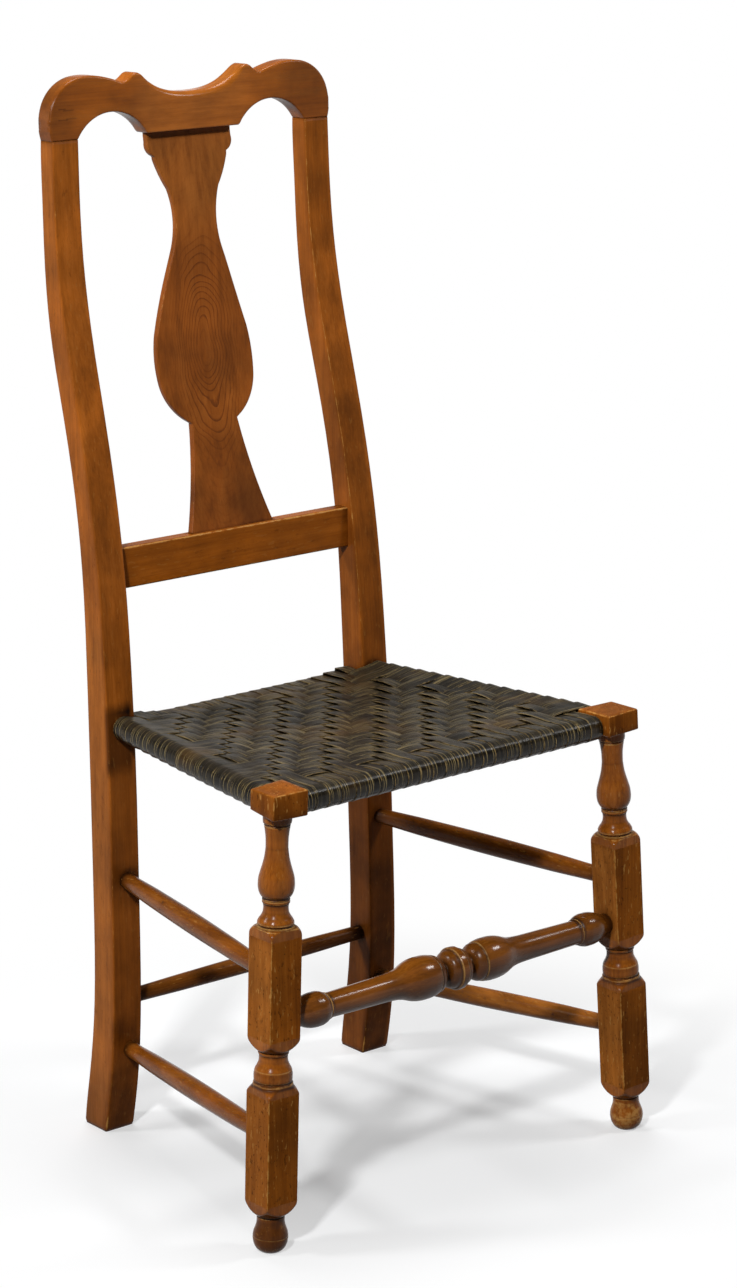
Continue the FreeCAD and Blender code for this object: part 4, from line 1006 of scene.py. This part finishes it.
# Split ash under worn dark paint: raised fibres along each ribbon, grey where the paint has thinned, tan
# wood along the cut edges, painted shade along the edge that tucks under the next ribbon, a dull sheen on
# the rolls, and no two ribbons of one tone. Real fibres and bared hairs are a few tenths of a millimetre
# wide, and they are drawn coarser here so that they show.
def painted_ash(name, width):
    material = bpy.data.materials.new(name)
    put = blank(material)
    marks = ("along", "across", "tone")
    along, across, tone = (put("Attribute", attribute_name=mark).outputs["Fac"] for mark in marks)
    wide = put("Math", [across, width / 2], "MULTIPLY")
    apart = put("Math", [tone, 7.0], "MULTIPLY")
    spot = put("CombineXYZ", [wide, along, apart])
    place = put("TexCoord").outputs["Object"]

    # Paint: dark in the valleys of the fibres, greyer on their crests, with warm worn patches
    # of about 91 mm.
    fibre = flecks(put, spot, (0.9, 60.0, 1000.0), Detail=4.0, Roughness=0.62)
    streak = flecks(put, spot, (4.0, 45.0, 1000.0), Detail=3.0)
    broad = put("Math", [streak, 0.32], "MULTIPLY")
    figure = put("Math", [fibre, 0.68, broad], "MULTIPLY_ADD")
    wood = put("ValToRGB", [figure])
    stops = wood.color_ramp.elements
    stops.new(0.52)
    for stop, at, colour in zip(stops, (0.40, 0.52, 0.66), ("#0d0a05", "#221c12", "#4b4436")):
        stop.position = at
        stop.color = linear(colour)
    shade = put("MapRange", [tone, 0.0, 1.0, 0.55, 1.14])
    wood = put("Mix", {0: 1.0, 6: wood, 7: shade}, data_type="RGBA", blend_type="MULTIPLY")
    patch = put("TexNoise", {"Vector": place, "Scale": 11.0, "Detail": 3.0})
    warm = put("MapRange", [patch, 0.52, 0.68, 0.0, 0.55])
    wood = put("Mix", {0: warm, 6: wood, 7: linear("#4a3416")}, data_type="RGBA")

    # Wear: bared hairs, and cut edges torn about every 6 mm, both stronger where the ribbons roll
    # over the rails.
    upright = put("SeparateXYZ", [put("NewGeometry").outputs["Normal"]]).outputs[2]
    level = put("Math", [upright], "ABSOLUTE")
    roll = put("MapRange", [level, 0.90, 0.55, 0.0, 1.0])
    hair = flecks(put, spot, (0.9, 80.0, 1000.0), (3.0, 5.0, 2.0), Detail=1.0)
    bared = put("MapRange", [hair, 0.60, 0.65, 0.0, 1.0])
    shown = put("MapRange", [roll, 0.0, 1.0, 0.40, 0.70])
    bared = put("Math", [bared, shown], "MULTIPLY")
    wood = put("Mix", {0: bared, 6: wood, 7: linear("#ab9665")}, data_type="RGBA")
    # Painted shade, with some dirt, along the edge of each ribbon that tucks under its neighbour.
    soil_and_shade = put("MapRange", [across, -0.80, -0.99, 1.0, 0.35])
    wood = put("Mix", {0: 1.0, 6: wood, 7: soil_and_shade}, data_type="RGBA", blend_type="MULTIPLY")
    torn = put("TexNoise", {"Vector": place, "Scale": 160.0, "Detail": 3.0})
    outward = put("Math", [across], "ABSOLUTE")
    ragged = put("Math", [torn, 0.36, outward], "MULTIPLY_ADD")
    cut_edge = put("MapRange", [ragged, 1.12, 1.16, 0.0, 1.0])
    share = put("MapRange", [roll, 0.0, 1.0, 0.32, 0.74])
    cut_edge = put("Math", [cut_edge, share], "MULTIPLY")
    wood = put("Mix", {0: cut_edge, 6: wood, 7: linear("#b39660")}, data_type="RGBA")

    # Surface: dry on the flats, smoother on the rolls, with the fibres raised.
    dry = put("MapRange", [figure, 0.3, 0.7, 0.52, 0.36])
    dull = put("Math", [roll, -0.26, dry], "MULTIPLY_ADD")
    bump = put("Bump", {"Strength": 0.5, "Distance": 0.0006, "Height": figure})
    shader = put("BsdfPrincipled", {
        "Base Color": wood,
        "Roughness": dull,
        "Normal": bump,
        "IOR": 1.5,
        "Specular IOR Level": 0.15,
    })
    put("OutputMaterial", [shader])
    return material


# Each group has its paths, width, tilt of a ribbon's lap over the next, seed and frame node.
for name, lines, width, lap, seed, node in (
    ("lengthwise_splints", warp_lines, WARP_WIDTH, 0.040, 3, "warp_splints"),
    ("crosswise_splints", weft_lines, WEFT_WIDTH, 0.022, 8, "weft_splints"),
):
    paths = bpy.data.curves.new(f"{name}_paths", "CURVE")
    paths.dimensions = "3D"
    for line, looped in lines:
        spline = paths.splines.new("POLY")
        spline.points.add(len(line) - 1)
        spline.points.foreach_set("co", [value for point in line for value in (*point, 1.0)])
        spline.points.foreach_set("tilt", [lap] * len(line))
        spline.use_cyclic_u = looped
    sweep = bpy.data.objects.new(f"{name}_sweep", paths)
    bpy.context.scene.collection.objects.link(sweep)
    modifier = sweep.modifiers.new("ribbon", "NODES")
    modifier.node_group = ribbon
    values = {
        "Width": width,
        "Thickness": SPLINT_THICK,
        "Eased Edge": 0.0004,
        "Flat Share": 1.8,
        "Seed": seed,
        "Finish": painted_ash(f"ash_split_worn_paint_{node}", width),
    }
    for item in ribbon.interface.items_tree:
        if item.in_out == "INPUT" and item.name in values:
            modifier[item.identifier] = values[item.name]
    graph = bpy.context.evaluated_depsgraph_get()
    mesh = bpy.data.meshes.new_from_object(sweep.evaluated_get(graph))
    mesh.name = name
    bpy.data.objects.remove(sweep)
    splints = bpy.data.objects.new(name, mesh)
    bpy.context.scene.collection.objects.link(splints)
    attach(splints, "root")
    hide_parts(node)


# Floor: a sheet of pale matt paper that takes the chair's soft shadows.
# It runs out to plain white round the chair, so that the sheet shows no edge.
FLOOR_HALF = 8.0
SHADOW_MIDDLE = (0.05, 0.05, 0.0)
shape = bmesh.new()
bmesh.ops.create_grid(shape, x_segments=1, y_segments=1, size=FLOOR_HALF)
paper = bpy.data.meshes.new("paper_floor")
shape.to_mesh(paper)
shape.free()
floor = bpy.data.objects.new("paper_floor", paper)
bpy.context.scene.collection.objects.link(floor)
finish = bpy.data.materials.new("paper_matt_white")
put = blank(finish)
place = put("TexCoord").outputs["Object"]
offset = put("VectorMath", [place, SHADOW_MIDDLE], "SUBTRACT")
reach = put("VectorMath", [offset], "LENGTH")
# Near the chair about a third of what the camera sees of the floor is its own glow, a painted light that
# lightens the shadows; further out it is all glow and plain white.
far = put("MapRange", [reach, 0.25, 0.60, 0.0, 1.0], interpolation_type="SMOOTHSTEP")
pale = put("MapRange", [far, 0.0, 1.0, 0.36, 1.0])
ray = put("LightPath").outputs
seen = ray["Is Camera Ray"]
for kind in ("Is Glossy Ray", "Is Transmission Ray"):
    seen = put("Math", [seen, ray[kind]], "MAXIMUM")
white = put("Math", [pale, seen], "MULTIPLY")
tint = put("Mix", {0: seen, 6: linear("#505050"), 7: linear("#f4f5f6")}, data_type="RGBA")
lit = put("BsdfDiffuse", {"Color": tint})
clear = put("Emission", {"Color": linear("#ffffff"), "Strength": 1.0})
put("OutputMaterial", {0: put("MixShader", [white, lit, clear])})
paper.materials.append(finish)


# Light: soft lamps high on the left, before and behind the chair, one above, and a weak fill from
# the right. The room itself is dim, but white to the camera and to low mirrored rays.
def soft_light(name, place, aim, size, power):
    lamp = bpy.data.lights.new(name, "AREA")
    lamp.shape = "SQUARE"
    lamp.size = size
    lamp.energy = power
    light = bpy.data.objects.new(name, lamp)
    light.location = place
    light.rotation_euler = (Vector(aim) - Vector(place)).to_track_quat("-Z", "Y").to_euler()
    bpy.context.scene.collection.objects.link(light)


soft_light("key_left", (-2.1, -1.45, 2.4), (0.0, 0.0, 0.60), size=0.24, power=66.0)
soft_light("rim_left", (-2.4, 1.2, 2.3), (0.0, 0.0, 0.60), size=0.5, power=36.0)
soft_light("fill_right", (1.85, -1.25, 2.5), (0.0, 0.0, 0.4), size=0.5, power=26.0)
soft_light("top", (0.3, 0.6, 3.2), (0.0, 0.0, 0.0), size=1.2, power=45.0)
world = bpy.data.worlds.new("pale_room")
put = blank(world)
ray = put("LightPath").outputs
mirrored = put("Math", [ray["Is Glossy Ray"], ray["Is Transmission Ray"]], "MAXIMUM")
aim = put("TexCoord").outputs["Generated"]
height = put("SeparateXYZ", [aim]).outputs[2]
drop = put("MapRange", [height, 0.10, 0.30, 1.0, 0.15], interpolation_type="SMOOTHSTEP")
mirrored = put("Math", [mirrored, drop], "MULTIPLY")
seen = put("Math", [ray["Is Camera Ray"], mirrored], "MAXIMUM")
room = put("Background", {"Color": linear("#ffffff"), "Strength": 0.04})
white = put("Background", {"Color": linear("#ffffff"), "Strength": 1.0})
put("OutputWorld", {0: put("MixShader", [seen, room, white])})
bpy.context.scene.world = world
bpy.context.scene.view_settings.view_transform = "Standard"


# Camera: at the photograph's viewing angle, left of the front and a little above the seat.
# Its place, turn and lens come from a fit to the feet, blocks, sockets and crest corners.
YAW, PITCH, ROLL = -0.6729996, -0.2521575, -0.0152514
EYE = (-1.94748, -2.51320, 1.32228)
lens = bpy.data.cameras.new("viewpoint")
lens.sensor_fit = "VERTICAL"
lens.sensor_height = 36.0
lens.lens = 94.206
viewpoint = bpy.data.objects.new("viewpoint", lens)
viewpoint.matrix_world = Matrix.Translation(EYE)
for angle, axis in ((YAW, "Z"), (math.pi / 2 + PITCH, "X"), (ROLL, "Z")):
    viewpoint.matrix_world = viewpoint.matrix_world @ Matrix.Rotation(angle, 4, axis)
bpy.context.scene.collection.objects.link(viewpoint)
bpy.context.scene.camera = viewpoint
